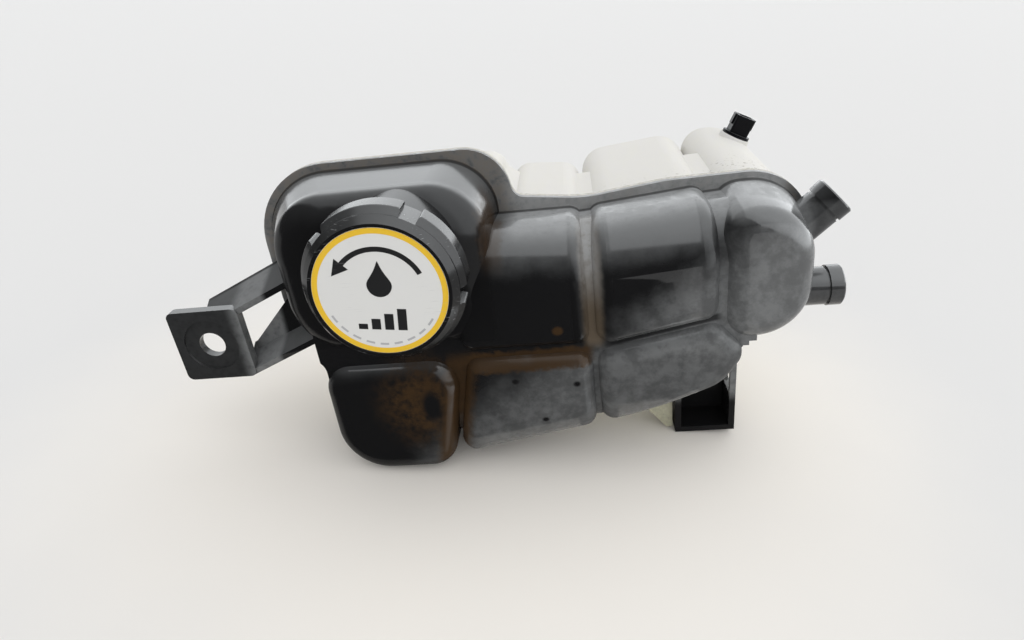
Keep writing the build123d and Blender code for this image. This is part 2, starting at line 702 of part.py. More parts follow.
def foot():
    """Pocket under the right end that stands on the floor by its left corner."""
    low = floor_z(FOOT_LEFT)
    right = FOOT_LEFT + FOOT_WIDTH
    front = -FLANGE_THICK
    under = base_z(FOOT_LEFT) - FLANGE_WIDTH - FOOT_CLEAR
    left_x = (FOOT_LEFT, FOOT_LEFT + FOOT_WALL)
    right_x = (right - FOOT_WALL, right)
    walls = block((FOOT_LEFT, right), (front, FOOT_BACK), (low, low + FOOT_WALL))
    walls += block(left_x, (front, FOOT_BACK), (low, under))
    walls += block(right_x, (front, FOOT_BACK), (low, under))
    back_top = base_z(FOOT_LEFT) - FOOT_CLEAR
    walls += block((FOOT_LEFT, right), (FOOT_BACK - FOOT_WALL, FOOT_BACK), (low, back_top))
    walls += block(left_x, (front, 0), (low, base_z(FOOT_LEFT)))
    walls += block(right_x, (front, 0), (low, BASE_RIGHT_Z + BASE_ROUND))
    return walls


def upper_shell():
    """Black half: lobes, flange, neck, bracket, hose stubs and foot in one moulding."""
    body = flange(-1) + upper_core() + upper_lobes()
    neck_root = CAP_LOBE_DEPTH - CAP_LOBE_CROWN
    neck_length = NECK_TIP - neck_root
    neck_place = Pos(0, -neck_root, 0) * Rot(90, 0, 0)
    body += neck_place * Cylinder(NECK_R, neck_length, align=standing)
    body += [high_stub * stub_body(HIGH_STUB_LENGTH), low_stub * stub_body(LOW_STUB_LENGTH)]
    lean = END_LOBE_LEAN * STUB_DEPTH / END_LOBE_DEPTH
    body += block((right_x - lean - WALL, right_x - lean + PIP_REACH),
                  (-STUB_DEPTH - PIP_THICK / 2, PIP_THICK / 2 - STUB_DEPTH),
                  (PIP_Z - PIP_HEIGHT / 2, PIP_Z + PIP_HEIGHT / 2))
    body += arm_bracket()
    body += foot()
    body = hollowed(body, upper_core, upper_lobes)
    body -= neck_place * Cylinder(NECK_R - NECK_WALL, neck_length, align=standing)
    body -= [high_stub * stub_bore(HIGH_STUB_LENGTH), low_stub * stub_bore(LOW_STUB_LENGTH)]
    eye = Pos(PLATE_X, PLATE_THICK / 2 - PLATE_FRONT, PLATE_Z) * Rot(90, 0, 0)
    body -= eye * Cylinder(EYE_R, 2 * PLATE_THICK)
    body -= eye * Pos(0, 0, PLATE_THICK - EYE_RECESS) * Cylinder(EYE_RECESS_R, PLATE_THICK)
    return body


# Sensor axis, from the centre of the right end lobe's upper corner outwards
sensor_tilt = math.radians(SENSOR_ANGLE)
sensor_axis = Vector(math.cos(sensor_tilt), 0, math.sin(sensor_tilt))
sensor_root = Vector(right_x - end_round, SENSOR_DEPTH, RIGHT_TOP - end_round)
sensor_seat = sensor_root + sensor_axis * (end_round + SENSOR_BOSS)
sensor_place = Plane(sensor_seat, x_dir=(0, 1, 0), z_dir=sensor_axis).location
seal_cord = (SENSOR_SEAL_R - WELL_BORE_R + STEM_CLEAR) / 2
seal_pocket = 2 * seal_cord
stem_r = WELL_BORE_R - STEM_CLEAR
well_tip = WELL_LENGTH + WELL_WALL

# The guide peg stands on the far wall, and its foot carries the float level with the sensor
peg_base_y = LOWER_END_DEPTH - WALL / 2
float_seat_y = SENSOR_DEPTH + FLOAT_HEIGHT / 2
float_rest_y = float_seat_y - FLOAT_CLEAR
peg_x = (end_right + LOWER_GROOVE_SHIFT + right_x) / 2
peg_place = Pos(peg_x, peg_base_y, PEG_Z) * Rot(90, 0, 0)
float_place = Pos(peg_x, float_rest_y, PEG_Z) * Rot(90, 0, 0)
clip_y = float_rest_y - FLOAT_HEIGHT - FLOAT_TRAVEL - FLOAT_CLEAR - CLIP_THICK / 2
clip_place = Pos(peg_x, clip_y, PEG_Z) * Rot(90, 0, 0)


def gusset():
    """Small web of the far half beside the foot."""
    right = FOOT_LEFT - FOOT_CLEAR
    left = right - GUSSET_REACH
    tip = floor_z(right) + FOOT_CLEAR
    knee = right - GUSSET_KNEE
    corners = [
        (left, base_z(left) - GUSSET_OVERLAP, 0),
        (right, base_z(right) - GUSSET_OVERLAP, 0),
        (right, tip, 0),
        (right - FOOT_WALL, tip, 0),
        (knee, base_z(knee) - FLANGE_WIDTH - GUSSET_DROP, 0),
        (left, base_z(left) - FLANGE_WIDTH, 0),
    ]
    return Pos(0, FLANGE_THICK / 2, 0) * extrude(plan_face(corners), GUSSET_WALL, (0, 1, 0))


def lower_shell():
    """Natural half: lobes, flange, baffles, sensor boss and well, guide peg in one moulding."""
    body = flange(1) + lower_core() + lower_lobes()
    body += gusset()
    body += sensor_place * Cylinder(SENSOR_BOSS_R, SENSOR_BOSS + SENSOR_BOSS_ROOT, align=hanging)
    body = hollowed(body, lower_core, lower_lobes)
    body += sensor_place * Pos(0, 0, -SENSOR_BOSS) * Cylinder(
        WELL_BORE_R + WELL_WALL, well_tip - SENSOR_BOSS, align=hanging)
    body -= sensor_place * Cylinder(WELL_BORE_R, WELL_LENGTH, align=hanging)
    body -= sensor_place * Cylinder(SENSOR_SEAL_R, seal_pocket, align=hanging)
    peg = Cylinder(PEG_R, peg_base_y - clip_y + PEG_TIP, align=standing)
    peg += Cylinder(PEG_FOOT_R, peg_base_y - float_seat_y, align=standing)
    body += peg_place * peg
    body -= clip_place * (Cylinder(CLIP_R, CLIP_THICK + 2 * CLIP_CLEAR)
                          - Cylinder(PEG_R - CLIP_GROOVE, CLIP_THICK + 2 * CLIP_CLEAR))
    return body


# Heights along the cap's axis, measured from the weld plane towards the cap
rim_low = NECK_TIP + CAP_PLAY
rim_top = rim_low + PLUG_RIM
roof_low = rim_top + CAP_PLAY
crown_top = roof_low + CAP_ROOF
skirt_low = crown_top - CAP_SKIRT
grip_r = CAP_BORE_R + CAP_WALL + GRIP_HEIGHT
skirt_r = CAP_BORE_R + CAP_WALL
plug_r = NECK_R - NECK_WALL - PLUG_CLEAR
plug_end = rim_low - PLUG_DEPTH
plug_ceiling = rim_top - PLUG_ROOF
seat_top = plug_end + RETAINER_THICK
seal_low = seat_top + VALVE_GAP
plate_low = seal_low + VALVE_SEAL_THICK + VALVE_GAP
plate_top = plate_low + VALVE_PLATE_THICK
keeper_low = plate_top + VACUUM_SPRING_LENGTH
to_cap = Rot(90, 0, 0)


def ring(outer, inner, low, high):
    """Plain ring about local Z."""
    return turned([(inner, low), (outer, low), (outer, high), (inner, high)])


def sector(points, width, middle):
    """Part of a turned ring, given by its profile, its width and its middle angle in degrees."""
    face = Face(Wire.make_polygon([Vector(r, 0, h) for r, h in points]))
    return Rot(0, 0, middle - width / 2) * revolve(face, Axis.Z, width)


def cap_shell():
    """Screw cap with its grips, snap nubs and a sunk seat for the label."""
    label_seat = LABEL_R + LABEL_CLEAR
    body = turned([
        (0, roof_low), (CAP_BORE_R, roof_low), (CAP_BORE_R, skirt_low), (skirt_r, skirt_low),
        (skirt_r, crown_top - CAP_SHOULDER), (CAP_CROWN_R, crown_top), (label_seat, crown_top),
        (label_seat, crown_top - LABEL_SUNK), (0, crown_top - LABEL_SUNK),
    ])
    pitch = 360 / GRIP_COUNT
    grip_low = skirt_low + GRIP_LIP
    inside = skirt_r - CAP_WALL / 2
    profile = [(inside, grip_low), (grip_r, grip_low), (grip_r, crown_top - GRIP_SLOPE),
               (CAP_CROWN_R, crown_top - LABEL_SUNK), (label_seat, crown_top - 2 * LABEL_SUNK),
               (inside, crown_top - CAP_ROOF)]
    for i in range(GRIP_COUNT):
        grip = sector(profile, pitch - GRIP_GAP_DEG, GRIP_TURN_DEG + i * pitch)
        outer = [edge for edge in grip.edges() if (edge @ 0.5).Z > grip_low + SMALL
                 and math.hypot((edge @ 0.5).X, (edge @ 0.5).Y) > skirt_r]
        body += fillet(outer, GRIP_ROUND)
    snap_high = rim_low - CAP_PLAY
    snap_low = snap_high - SNAP_THICK
    snap_r = CAP_BORE_R - SNAP_REACH
    snap = [(snap_r, snap_low), (inside, snap_low), (inside, snap_high), (snap_r, snap_high)]
    for i in range(SNAP_COUNT):
        body += sector(snap, SNAP_WIDTH_DEG, i * 360 / SNAP_COUNT)
    return body


def cap_label():
    """Round label in its seat."""
    low = crown_top - LABEL_SUNK
    return turned([(0, low), (LABEL_R, low), (LABEL_R, low + LABEL_THICK), (0, low + LABEL_THICK)])


def cap_plug():
    """Insert that enters the neck, with the valve chamber inside."""
    groove_low = plug_end + SEAL_FROM_END
    groove_high = groove_low + 2 * SEAL_CORD_R + 2 * SEAL_CLEAR
    groove_r = seal_ring_r - SEAL_CORD_R - SEAL_FLOOR
    recess_r = RETAINER_R + VALVE_GAP
    body = turned([
        (recess_r, plug_end), (plug_r, plug_end), (plug_r, groove_low), (groove_r, groove_low),
        (groove_r, groove_high), (plug_r, groove_high), (plug_r, rim_low), (PLUG_RIM_R, rim_low),
        (PLUG_RIM_R, rim_top), (0, rim_top), (0, plug_ceiling), (PLUG_BORE_R, plug_ceiling),
        (PLUG_BORE_R, seat_top), (recess_r, seat_top),
    ])
    vent_height = (groove_high + plug_ceiling) / 2
    for i in range(VENT_COUNT):
        vent = Rot(0, 90, 0) * Cylinder(VENT_R, 2 * plug_r, align=standing)
        body -= Rot(0, 0, (i + 0.5) * 360 / VENT_COUNT) * Pos(0, 0, vent_height) * vent
    return body


seal_ring_r = NECK_R - NECK_WALL - SEAL_CLEAR - SEAL_CORD_R
seal_ring_s = plug_end + SEAL_FROM_END + SEAL_CORD_R + SEAL_CLEAR


def coil(wire_r, coil_r, low, high, turns):
    """Open coil spring about local Z between two heights."""
    height = high - low - 2 * wire_r
    path = Pos(0, 0, low + wire_r) * Helix(height / turns, height, coil_r)
    section = Plane(path @ 0, z_dir=path % 0) * Circle(wire_r)
    return sweep(section, path)


def vacuum_valve():
    """Mushroom valve that hangs through the middle of the pressure plate."""
    head_top = plate_low - VALVE_GAP
    stem_top = keeper_low + KEEPER_THICK
    return turned([
        (0, seal_low), (VACUUM_HEAD_R, seal_low), (VACUUM_HEAD_R, head_top), (VACUUM_STEM_R, head_top),
        (VACUUM_STEM_R, stem_top), (0, stem_top),
    ])


def sensor_body():
    """Connector shroud, flange and stem of the level sensor in one moulding."""
    body = Cylinder(SENSOR_FLANGE_R, SENSOR_FLANGE, align=standing)
    shroud = Pos(0, 0, SENSOR_FLANGE) * Box(SOCKET_HEIGHT, SOCKET_WIDTH, SOCKET_LENGTH, align=standing)
    body += fillet(shroud.edges().filter_by(Axis.Z), SOCKET_ROUND)
    top = SENSOR_FLANGE + SOCKET_LENGTH
    for side in (-1, 1):
        body += Pos(0, side * (SOCKET_WIDTH + RAIL_REACH - RAIL_BITE) / 2, top) * Box(
            RAIL_WIDTH, RAIL_REACH + RAIL_BITE, RAIL_LENGTH, align=hanging)
    body -= Pos(0, 0, SENSOR_FLANGE + SOCKET_FLOOR) * Box(
        SOCKET_HEIGHT - 2 * SOCKET_WALL, SOCKET_WIDTH - 2 * SOCKET_WALL, SOCKET_LENGTH, align=standing)
    body += Cylinder(stem_r, WELL_LENGTH - STEM_CLEAR, align=hanging)
    body -= Pos(0, 0, STEM_CLEAR - WELL_LENGTH) * Cylinder(
        REED_R + REED_CLEAR, REED_LENGTH + REED_CLEAR, align=standing)
    return body


def sensor_terminals():
    """Two blades that stand on the floor of the socket."""
    low = SENSOR_FLANGE + SOCKET_FLOOR
    blade = Box(BLADE_WIDTH, BLADE_THICK, BLADE_LENGTH, align=standing)
    return Compound([Pos(0, side * BLADE_PITCH / 2, low) * blade for side in (-1, 1)])


def sensor_seal():
    """O-ring round the stem, in the pocket under the flange."""
    return Pos(0, 0, -seal_pocket / 2) * Torus((SENSOR_SEAL_R + stem_r) / 2, seal_cord - SEAL_SLACK)


def reed_capsule():
    """Glass switch in the bore of the stem."""
    capsule = Cylinder(REED_R, REED_LENGTH, align=standing)
    capsule = fillet(capsule.edges(), REED_ROUND)
    return Pos(0, 0, STEM_CLEAR - WELL_LENGTH) * capsule


def float_ring():
    """Float with a pocket for its magnet at the seated end."""
    bore = PEG_R + FLOAT_CLEAR
    body = ring(FLOAT_R, bore, 0, FLOAT_HEIGHT)
    rims = [edge for edge in body.edges().filter_by(GeomType.CIRCLE) if edge.radius > bore + MAGNET_WALL]
    body = fillet(rims, FLOAT_ROUND)
    pocket_r = MAGNET_BORE_R + MAGNET_WALL + MAGNET_CLEAR
    return body - ring(pocket_r, MAGNET_BORE_R - MAGNET_CLEAR, 0, MAGNET_HEIGHT)


def float_magnet():
    """Ring magnet in the float's pocket."""
    return ring(MAGNET_BORE_R + MAGNET_WALL, MAGNET_BORE_R, 0, MAGNET_HEIGHT - MAGNET_CLEAR)


def float_keeper():
    """Split clip in the groove near the end of the guide peg."""
    body = Cylinder(CLIP_R, CLIP_THICK) - Cylinder(PEG_R - CLIP_GROOVE + CLIP_CLEAR, CLIP_THICK)
    return body - Pos(CLIP_R / 2, 0, 0) * Box(CLIP_R, CLIP_SLIT, CLIP_THICK)


pieces = {
    "upper_shell": upper_shell(),
    "lower_shell": lower_shell(),
    "cap_shell": to_cap * cap_shell(),
    "cap_label": to_cap * cap_label(),
    "cap_plug": to_cap * cap_plug(),
    "plug_seal": to_cap * Pos(0, 0, seal_ring_s) * Torus(seal_ring_r, SEAL_CORD_R),
    "valve_retainer": to_cap * ring(RETAINER_R, SEAT_HOLE_R, plug_end, seat_top),
    "relief_seal": to_cap * ring(VALVE_R, VACUUM_HEAD_R + VALVE_SEAL_CLEAR, seal_low,
                                 seal_low + VALVE_SEAL_THICK),
    "relief_plate": to_cap * ring(VALVE_R, VACUUM_STEM_R + VACUUM_STEM_CLEAR, plate_low, plate_top),
    "relief_spring": to_cap * coil(RELIEF_WIRE_R, RELIEF_COIL_R, plate_top + VALVE_GAP,
                                   plug_ceiling - VALVE_GAP, RELIEF_TURNS),
    "vacuum_valve": to_cap * vacuum_valve(),
    "vacuum_spring": to_cap * coil(VACUUM_WIRE_R, VACUUM_COIL_R, plate_top + VALVE_GAP,
                                   keeper_low - VALVE_GAP, VACUUM_TURNS),
    "vacuum_keeper": to_cap * ring(KEEPER_R, VACUUM_STEM_R + KEEPER_CLEAR, keeper_low,
                                   keeper_low + KEEPER_THICK),
    "sensor_body": sensor_place * sensor_body(),
    "sensor_terminals": sensor_place * sensor_terminals(),
    "sensor_seal": sensor_place * sensor_seal(),
    "reed_capsule": sensor_place * reed_capsule(),
    "float_ring": float_place * float_ring(),
    "float_magnet": float_place * float_magnet(),
    "float_keeper": clip_place * float_keeper(),
}

# Lay the tank down: roll it onto its resting lobe and foot, with the origin under the middle of its box
rolled = Rot(0, -LYING_ROLL, 0)
limits = Compound([rolled * piece for piece in pieces.values()]).bounding_box()
lying = Pos(-limits.center().X, -limits.center().Y, -limits.min.Z) * rolled

os.makedirs("parts", exist_ok=True)
for name, piece in pieces.items():
    export_step(lying * piece, f"parts/{name}.step")

# Places that a fitter needs, in the lying frame
for name, place in (
    ("cap axis", to_cap * Pos(0, 0, NECK_TIP)),
    ("valve axis", to_cap * Pos(0, 0, plate_low)),
    ("bracket eye", Pos(PLATE_X, -PLATE_FRONT + PLATE_THICK / 2, PLATE_Z) * to_cap),
    ("high stub mouth", high_stub * Pos(0, 0, HIGH_STUB_LENGTH - (STUB_BEAD + STUB_LIP) / 2)),
    ("low stub mouth", low_stub * Pos(0, 0, LOW_STUB_LENGTH - (STUB_BEAD + STUB_LIP) / 2)),
    ("sensor socket", sensor_place * Pos(0, 0, SENSOR_FLANGE + SOCKET_LENGTH)),
    ("float axis", float_place),
    ("foot pocket", Pos(FOOT_LEFT + FOOT_WIDTH / 2, 0, floor_z(FOOT_LEFT) + FOOT_WALL) * to_cap),
):
    frame = lying * place
    axis = Plane(frame).z_dir
    print(name, [round(v, 4) for v in frame.position], [round(v, 7) for v in axis])
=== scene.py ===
import json
import math
from types import SimpleNamespace

import bmesh
import bpy
from bpy.props import FloatProperty, FloatVectorProperty, IntProperty, PointerProperty
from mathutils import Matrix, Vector


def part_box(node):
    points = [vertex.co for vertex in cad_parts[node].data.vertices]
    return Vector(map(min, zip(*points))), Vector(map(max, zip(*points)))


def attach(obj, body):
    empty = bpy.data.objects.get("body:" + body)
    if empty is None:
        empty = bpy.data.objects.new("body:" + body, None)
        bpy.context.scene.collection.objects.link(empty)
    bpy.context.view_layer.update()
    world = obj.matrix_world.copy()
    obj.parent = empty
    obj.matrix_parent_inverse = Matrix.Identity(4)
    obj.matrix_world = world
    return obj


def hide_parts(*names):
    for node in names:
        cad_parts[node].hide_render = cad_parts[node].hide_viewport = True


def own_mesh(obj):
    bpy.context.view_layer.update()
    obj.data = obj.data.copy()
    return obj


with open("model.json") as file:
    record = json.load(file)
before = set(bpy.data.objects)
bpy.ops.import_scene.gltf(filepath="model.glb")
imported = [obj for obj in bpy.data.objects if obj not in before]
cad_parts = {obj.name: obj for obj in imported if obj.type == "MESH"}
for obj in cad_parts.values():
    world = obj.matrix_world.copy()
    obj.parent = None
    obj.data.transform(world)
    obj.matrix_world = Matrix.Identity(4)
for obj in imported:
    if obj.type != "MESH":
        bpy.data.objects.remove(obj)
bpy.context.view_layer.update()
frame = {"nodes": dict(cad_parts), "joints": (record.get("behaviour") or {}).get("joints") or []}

bl_info = {
    "name": "Coolant expansion tank",
    "version": (1, 0, 0),
    "blender": (4, 5, 0),
    "location": "View3D > Sidebar > Tank",
    "description": "Finishes, label, screw thread, valve springs and stage of a lying coolant expansion tank",
    "category": "Object",
}

MM = 0.001
LYING_ROLL = math.radians(6.5)
NECK_TIP = 0.072
joints = {joint["name"]: joint for joint in frame["joints"]}
filler = Vector(joints["cap_turn"]["pos_m"])
datum = Vector((filler.x, filler.y + NECK_TIP, filler.z))


def colour(name, about, value):
    """A colour that a user would change."""
    return FloatVectorProperty(
        name=name, description=about, default=value, subtype="COLOR", size=3, min=0, max=1)


def length(name, about, value):
    """A size in metres that a user would change."""
    return FloatProperty(name=name, description=about, default=value, unit="LENGTH", precision=5)


def angle(name, about, degrees):
    """A turn that a user would change, given in degrees."""
    return FloatProperty(
        name=name, description=about, default=math.radians(degrees), subtype="ANGLE", unit="ROTATION")


def strength(name, about, value):
    """A brightness that a user would change."""
    return FloatProperty(name=name, description=about, default=value, min=0)


class StageSettings(bpy.types.PropertyGroup):
    """Camera, floor and light."""

    camera_place: FloatVectorProperty(
        name="Camera place", description="Where the camera stands", default=(0.02524, -0.3063, 0.22077),
        subtype="TRANSLATION", unit="LENGTH")
    camera_pitch: angle("Camera pitch", "How far the camera looks down", 28.16)
    camera_yaw: angle("Camera yaw", "How far the camera is turned to the left", 3.487)
    lens: FloatProperty(
        name="Lens", description="Focal length on a 36 mm sensor", default=23.906, unit="CAMERA")
    floor: colour("Floor", "Pale floor", (0.76, 0.76, 0.758))
    # Painted light: the floor is brighter and warmer around the tank, which lifts and warms the tank's
    # shadow.
    floor_painted_light: colour("Floor near", "Warmer floor around the tank", (0.94, 0.905, 0.85))
    floor_reach: length("Floor reach", "How far the floor runs to each side", 4.0)
    painted_light_inside: length("Warm floor", "Where the warmer floor starts to fade", 0.10)
    painted_light_outside: length("Warm floor end", "Where the warmer floor has faded", 0.30)
    dark_from: length("Dark front", "Where the floor stops showing in reflections", -0.062)
    dark_right: length("Dark right end", "Right end of the floor that does not show in reflections", 0.12)
    light: strength("Light", "Strength of the soft light from the open side", 1.25)
    light_back: strength("Light behind", "Strength of the soft light from the other side", 0.6)
    open_side: FloatVectorProperty(
        name="Open side", description="Where most of the soft light comes from", default=(0.8, -0.5, 0.55),
        subtype="DIRECTION")
    bright: strength("Bright wall", "Strength of the reflected bright wall", 4.4)
    bright_low: strength("Bright wall foot", "Strength of the reflected wall at its lower edge", 2.4)
    dim: strength("Dim wall", "Strength of the reflected dark side", 0.05)
    backdrop: strength("Backdrop", "Grey that the camera sees behind the floor", 0.85)
    light_from: FloatVectorProperty(
        name="Light from", description="Middle of the bright wall", default=(2.2, 1.49, 1.0),
        subtype="DIRECTION")
    light_edge: FloatProperty(
        name="Light edge", description="Where the bright wall ends, as a cosine", default=-0.145,
        min=-1, max=1)


class FinishSettings(bpy.types.PropertyGroup):
    """Colours of the tank's materials."""

    black: colour("Black plastic", "Clean black moulding", (0.008, 0.008, 0.0085))
    dust: colour("Dust", "Dry grey dust on the upper faces", (0.33, 0.34, 0.345))
    silt: colour("Silt", "Dry dirt in the upright groove and beside the flange", (0.125, 0.098, 0.070))
    rust: colour("Rust dirt", "Brown dirt on the ledge and the resting lobe", (0.048, 0.027, 0.012))
    natural: colour("Natural plastic", "Off-white moulding", (0.74, 0.73, 0.695))
    # Darker yellow-green low on the off-white half: part coolant tint, part painted shade near the floor.
    low_tint_and_shade: colour("Low tint and shade", "Yellow-green tint and painted shade low down", (0.42, 0.42, 0.26))
    speck: colour("Specks", "Grey dirt on the off-white moulding", (0.30, 0.28, 0.23))
    label: colour("Label", "White ground of the label", (0.70, 0.70, 0.685))
    ring: colour("Label ring", "Yellow ring of the label", (0.80, 0.50, 0.02))
    ink: colour("Ink", "Dark print of the label", (0.015, 0.015, 0.016))
    pale_ink: colour("Pale ink", "Grey print of the label", (0.42, 0.42, 0.43))
    steel: colour("Steel", "Springs, plate, clip and blades", (0.58, 0.58, 0.59))
    brass: colour("Brass", "Suction valve", (0.70, 0.52, 0.22))


class LabelSettings(bpy.types.PropertyGroup):
    """Sizes of the printed label."""

    radius: length("Ring radius", "Outer radius of the yellow ring", 0.0249)
    ring_width: length("Ring width", "Width of the yellow ring", 0.0021)
    film: length("Film", "Height of the print over the label", 0.00006)
    arrow_radius: length("Arrow radius", "Middle radius of the turn arrow", 0.0170)
    arrow_width: length("Arrow width", "Width of the turn arrow's shaft", 0.0019)
    drop_radius: length("Drop radius", "Round end of the drop", 0.0046)
    bar_width: length("Bar width", "Width of one level bar", 0.0034)
    bar_height: length("Bar height", "Height of the tallest level bar", 0.0088)
    bar_count: IntProperty(name="Bars", description="Number of level bars", default=4, min=2)
    bar_foot: length("Bar foot", "How far the bars stand under the middle", 0.0150)
    drop_rise: length("Drop rise", "How far the drop's round end lies over the middle", 0.0030)
    dash_gap: length("Dash gap", "Room between the dashes and the yellow ring", 0.0013)
    dash_width: length("Dash width", "Width of one grey dash", 0.0008)
    arrow_from: angle("Arrow start", "Where the turn arrow starts, from the right", 28)
    arrow_sweep: angle("Arrow sweep", "How far the turn arrow's shaft runs", 112)
    dash_from: angle("First dash", "Where the row of dashes starts, from the right", 212)
    dash_to: angle("Last dash", "Where the row of dashes ends, from the right", 328)
    dash_count: IntProperty(
        name="Dashes", description="Number of grey dashes along the rim", default=9, min=2)


class ThreadSettings(bpy.types.PropertyGroup):
    """Screw thread of the neck and the cap."""

    neck_radius: length("Neck radius", "Outer radius of the filler neck", 0.0244)
    bore_radius: length("Cap bore", "Inner radius of the cap", 0.0266)
    pitch: length("Pitch", "Lift of the cap for one turn", 0.004)
    ridge: length("Ridge height", "How far the ridge stands off its wall", 0.0014)
    foot: length("Ridge foot", "Width of the ridge at its wall", 0.0017)
    crest: length("Ridge crest", "Width of the ridge at its tip", 0.0006)
    sunk: length("Ridge root", "How deep the ridge is sunk into its wall", 0.0002)
    start: length("Thread start", "Height of the first turn over the weld plane", 0.0630)
    turns: FloatProperty(name="Turns", description="Number of turns", default=1.6, min=0.5)
    steps: IntProperty(name="Steps", description="Steps in one turn", default=72, min=12)


class SpringSettings(bpy.types.PropertyGroup):
    """Wound springs of the two cap valves."""

    relief_wire: length("Pressure spring wire", "Wire radius of the pressure valve's spring", 0.0009)
    vacuum_wire: length("Suction spring wire", "Wire radius of the suction valve's spring", 0.00035)
    turns: FloatProperty(name="Turns", description="Number of turns of each spring", default=4.0, min=1)
    steps: IntProperty(name="Steps", description="Steps in one turn", default=32, min=12)
    sides: IntProperty(name="Sides", description="Faces round the wire", default=10, min=6)


def settings(name):
    """One group of settings of the open scene."""
    return getattr(bpy.context.scene, name)


def opaque(value):
    """A colour with its alpha."""
    return (*value, 1.0)


def feed(tree, socket, value):
    """Link an input to another node, or fill it with a value."""
    if isinstance(value, bpy.types.NodeSocket):
        tree.links.new(value, socket)
    else:
        socket.default_value = value


def add(tree, kind, inputs=None, **options):
    """A node with its options set and its inputs linked or filled."""
    node = tree.nodes.new(kind)
    for key, value in options.items():
        setattr(node, key, value)
    for key, value in (inputs or {}).items():
        feed(tree, node.inputs[key], value)
    return node


def calc(tree, operation, first, second=0.0):
    """One step of arithmetic."""
    return add(tree, "ShaderNodeMath", {0: first, 1: second}, operation=operation).outputs[0]


def product(tree, *values):
    """Several masks multiplied."""
    result = values[0]
    for value in values[1:]:
        result = calc(tree, "MULTIPLY", result, value)
    return result


def strongest(tree, *values):
    """The highest of several masks."""
    result = values[0]
    for value in values[1:]:
        result = calc(tree, "MAXIMUM", result, value)
    return result


def between(tree, value, low, high, first=0.0, last=1.0):
    """Smooth step from one level to another. It falls where low is over high."""
    inputs = {"Value": value, "From Min": low, "From Max": high, "To Min": first, "To Max": last}
    return add(tree, "ShaderNodeMapRange", inputs, interpolation_type="SMOOTHSTEP").outputs["Result"]


def band(tree, value, middle, half, soft):
    """Mask of a stripe about one level, with soft edges."""
    off = calc(tree, "ABSOLUTE", calc(tree, "SUBTRACT", value, middle))
    return between(tree, off, half + soft, half)


def spot(tree, x, z, place, radii, soft=0.4):
    """Mask of an oval on the tank's face, given by its middle and its half axes in millimetres."""
    across = calc(tree, "DIVIDE", calc(tree, "SUBTRACT", x, place[0]), radii[0])
    down = calc(tree, "DIVIDE", calc(tree, "SUBTRACT", z, place[1]), radii[1])
    reach = calc(tree, "SQRT", calc(tree, "ADD", product(tree, across, across), product(tree, down, down)))
    return between(tree, reach, 1 + soft, 1 - soft)


def blend_colour(tree, share, first, second):
    """Two colours mixed by a mask."""
    mix = add(tree, "ShaderNodeMix", data_type="RGBA")
    feed(tree, mix.inputs[0], share)
    feed(tree, mix.inputs[6], first)
    feed(tree, mix.inputs[7], second)
    return mix.outputs[2]


def noise(tree, vector, scale, detail=3.0, roughness=0.55):
    """Cloudy value from 0 to 1."""
    inputs = {"Vector": vector, "Scale": scale, "Detail": detail, "Roughness": roughness}
    return add(tree, "ShaderNodeTexNoise", inputs).outputs["Fac"]


def tank_place(tree):
    """Place on the tank's own datum in millimetres, as a vector and as its three parts."""
    place = add(tree, "ShaderNodeTexCoord").outputs["Object"]
    inputs = {"Vector": place, "Location": datum, "Rotation": (0, -LYING_ROLL, 0), "Scale": (MM, MM, MM)}
    vector = add(tree, "ShaderNodeMapping", inputs, vector_type="TEXTURE").outputs[0]
    parts = add(tree, "ShaderNodeSeparateXYZ", {0: vector}).outputs
    return vector, parts[0], parts[1], parts[2]


def up_share(tree):
    """How far the surface faces upwards, from -1 to 1."""
    normal = add(tree, "ShaderNodeTexCoord").outputs["Normal"]
    return add(tree, "ShaderNodeSeparateXYZ", {0: normal}).outputs[2]


def new_group(name, inputs, outputs):
    """Empty node group with float inputs and outputs, with its two end nodes."""
    tree = bpy.data.node_groups.new(name, "ShaderNodeTree")
    for key, value in inputs.items():
        socket = tree.interface.new_socket(key, in_out="INPUT", socket_type="NodeSocketFloat")
        socket.default_value = value
    for key in outputs:
        tree.interface.new_socket(key, in_out="OUTPUT", socket_type="NodeSocketFloat")
    return tree, add(tree, "NodeGroupInput").outputs, add(tree, "NodeGroupOutput").inputs


def dust_group():
    """Dry dust that settled on the faces that look up."""
    tree, given, made = new_group("Settled dust", {"Amount": 1.0, "Patch": 0.06}, ["Mask"])
    vector, _, _, _ = tank_place(tree)
    patches = noise(tree, vector, given["Patch"], 5.0, 0.6)
    ragged = calc(tree, "MULTIPLY", calc(tree, "SUBTRACT", patches, 0.5), 0.5)
    tilt = calc(tree, "ADD", up_share(tree), ragged)
    feed(tree, made["Mask"], product(tree, between(tree, tilt, 0.2, 0.9), given["Amount"]))
    return tree


def grain_group():
    """Height of a moulded surface: fine grain on a slow wave."""
    tree, given, made = new_group("Moulded grain", {"Grain": 1.0, "Wave": 1.0}, ["Height"])
    vector, _, _, _ = tank_place(tree)
    fine = calc(tree, "MULTIPLY", noise(tree, vector, 2.2, 2.0), given["Grain"])
    slow = calc(tree, "MULTIPLY", noise(tree, vector, 0.09, 1.0), given["Wave"])
    feed(tree, made["Height"], calc(tree, "ADD", fine, slow))
    return tree


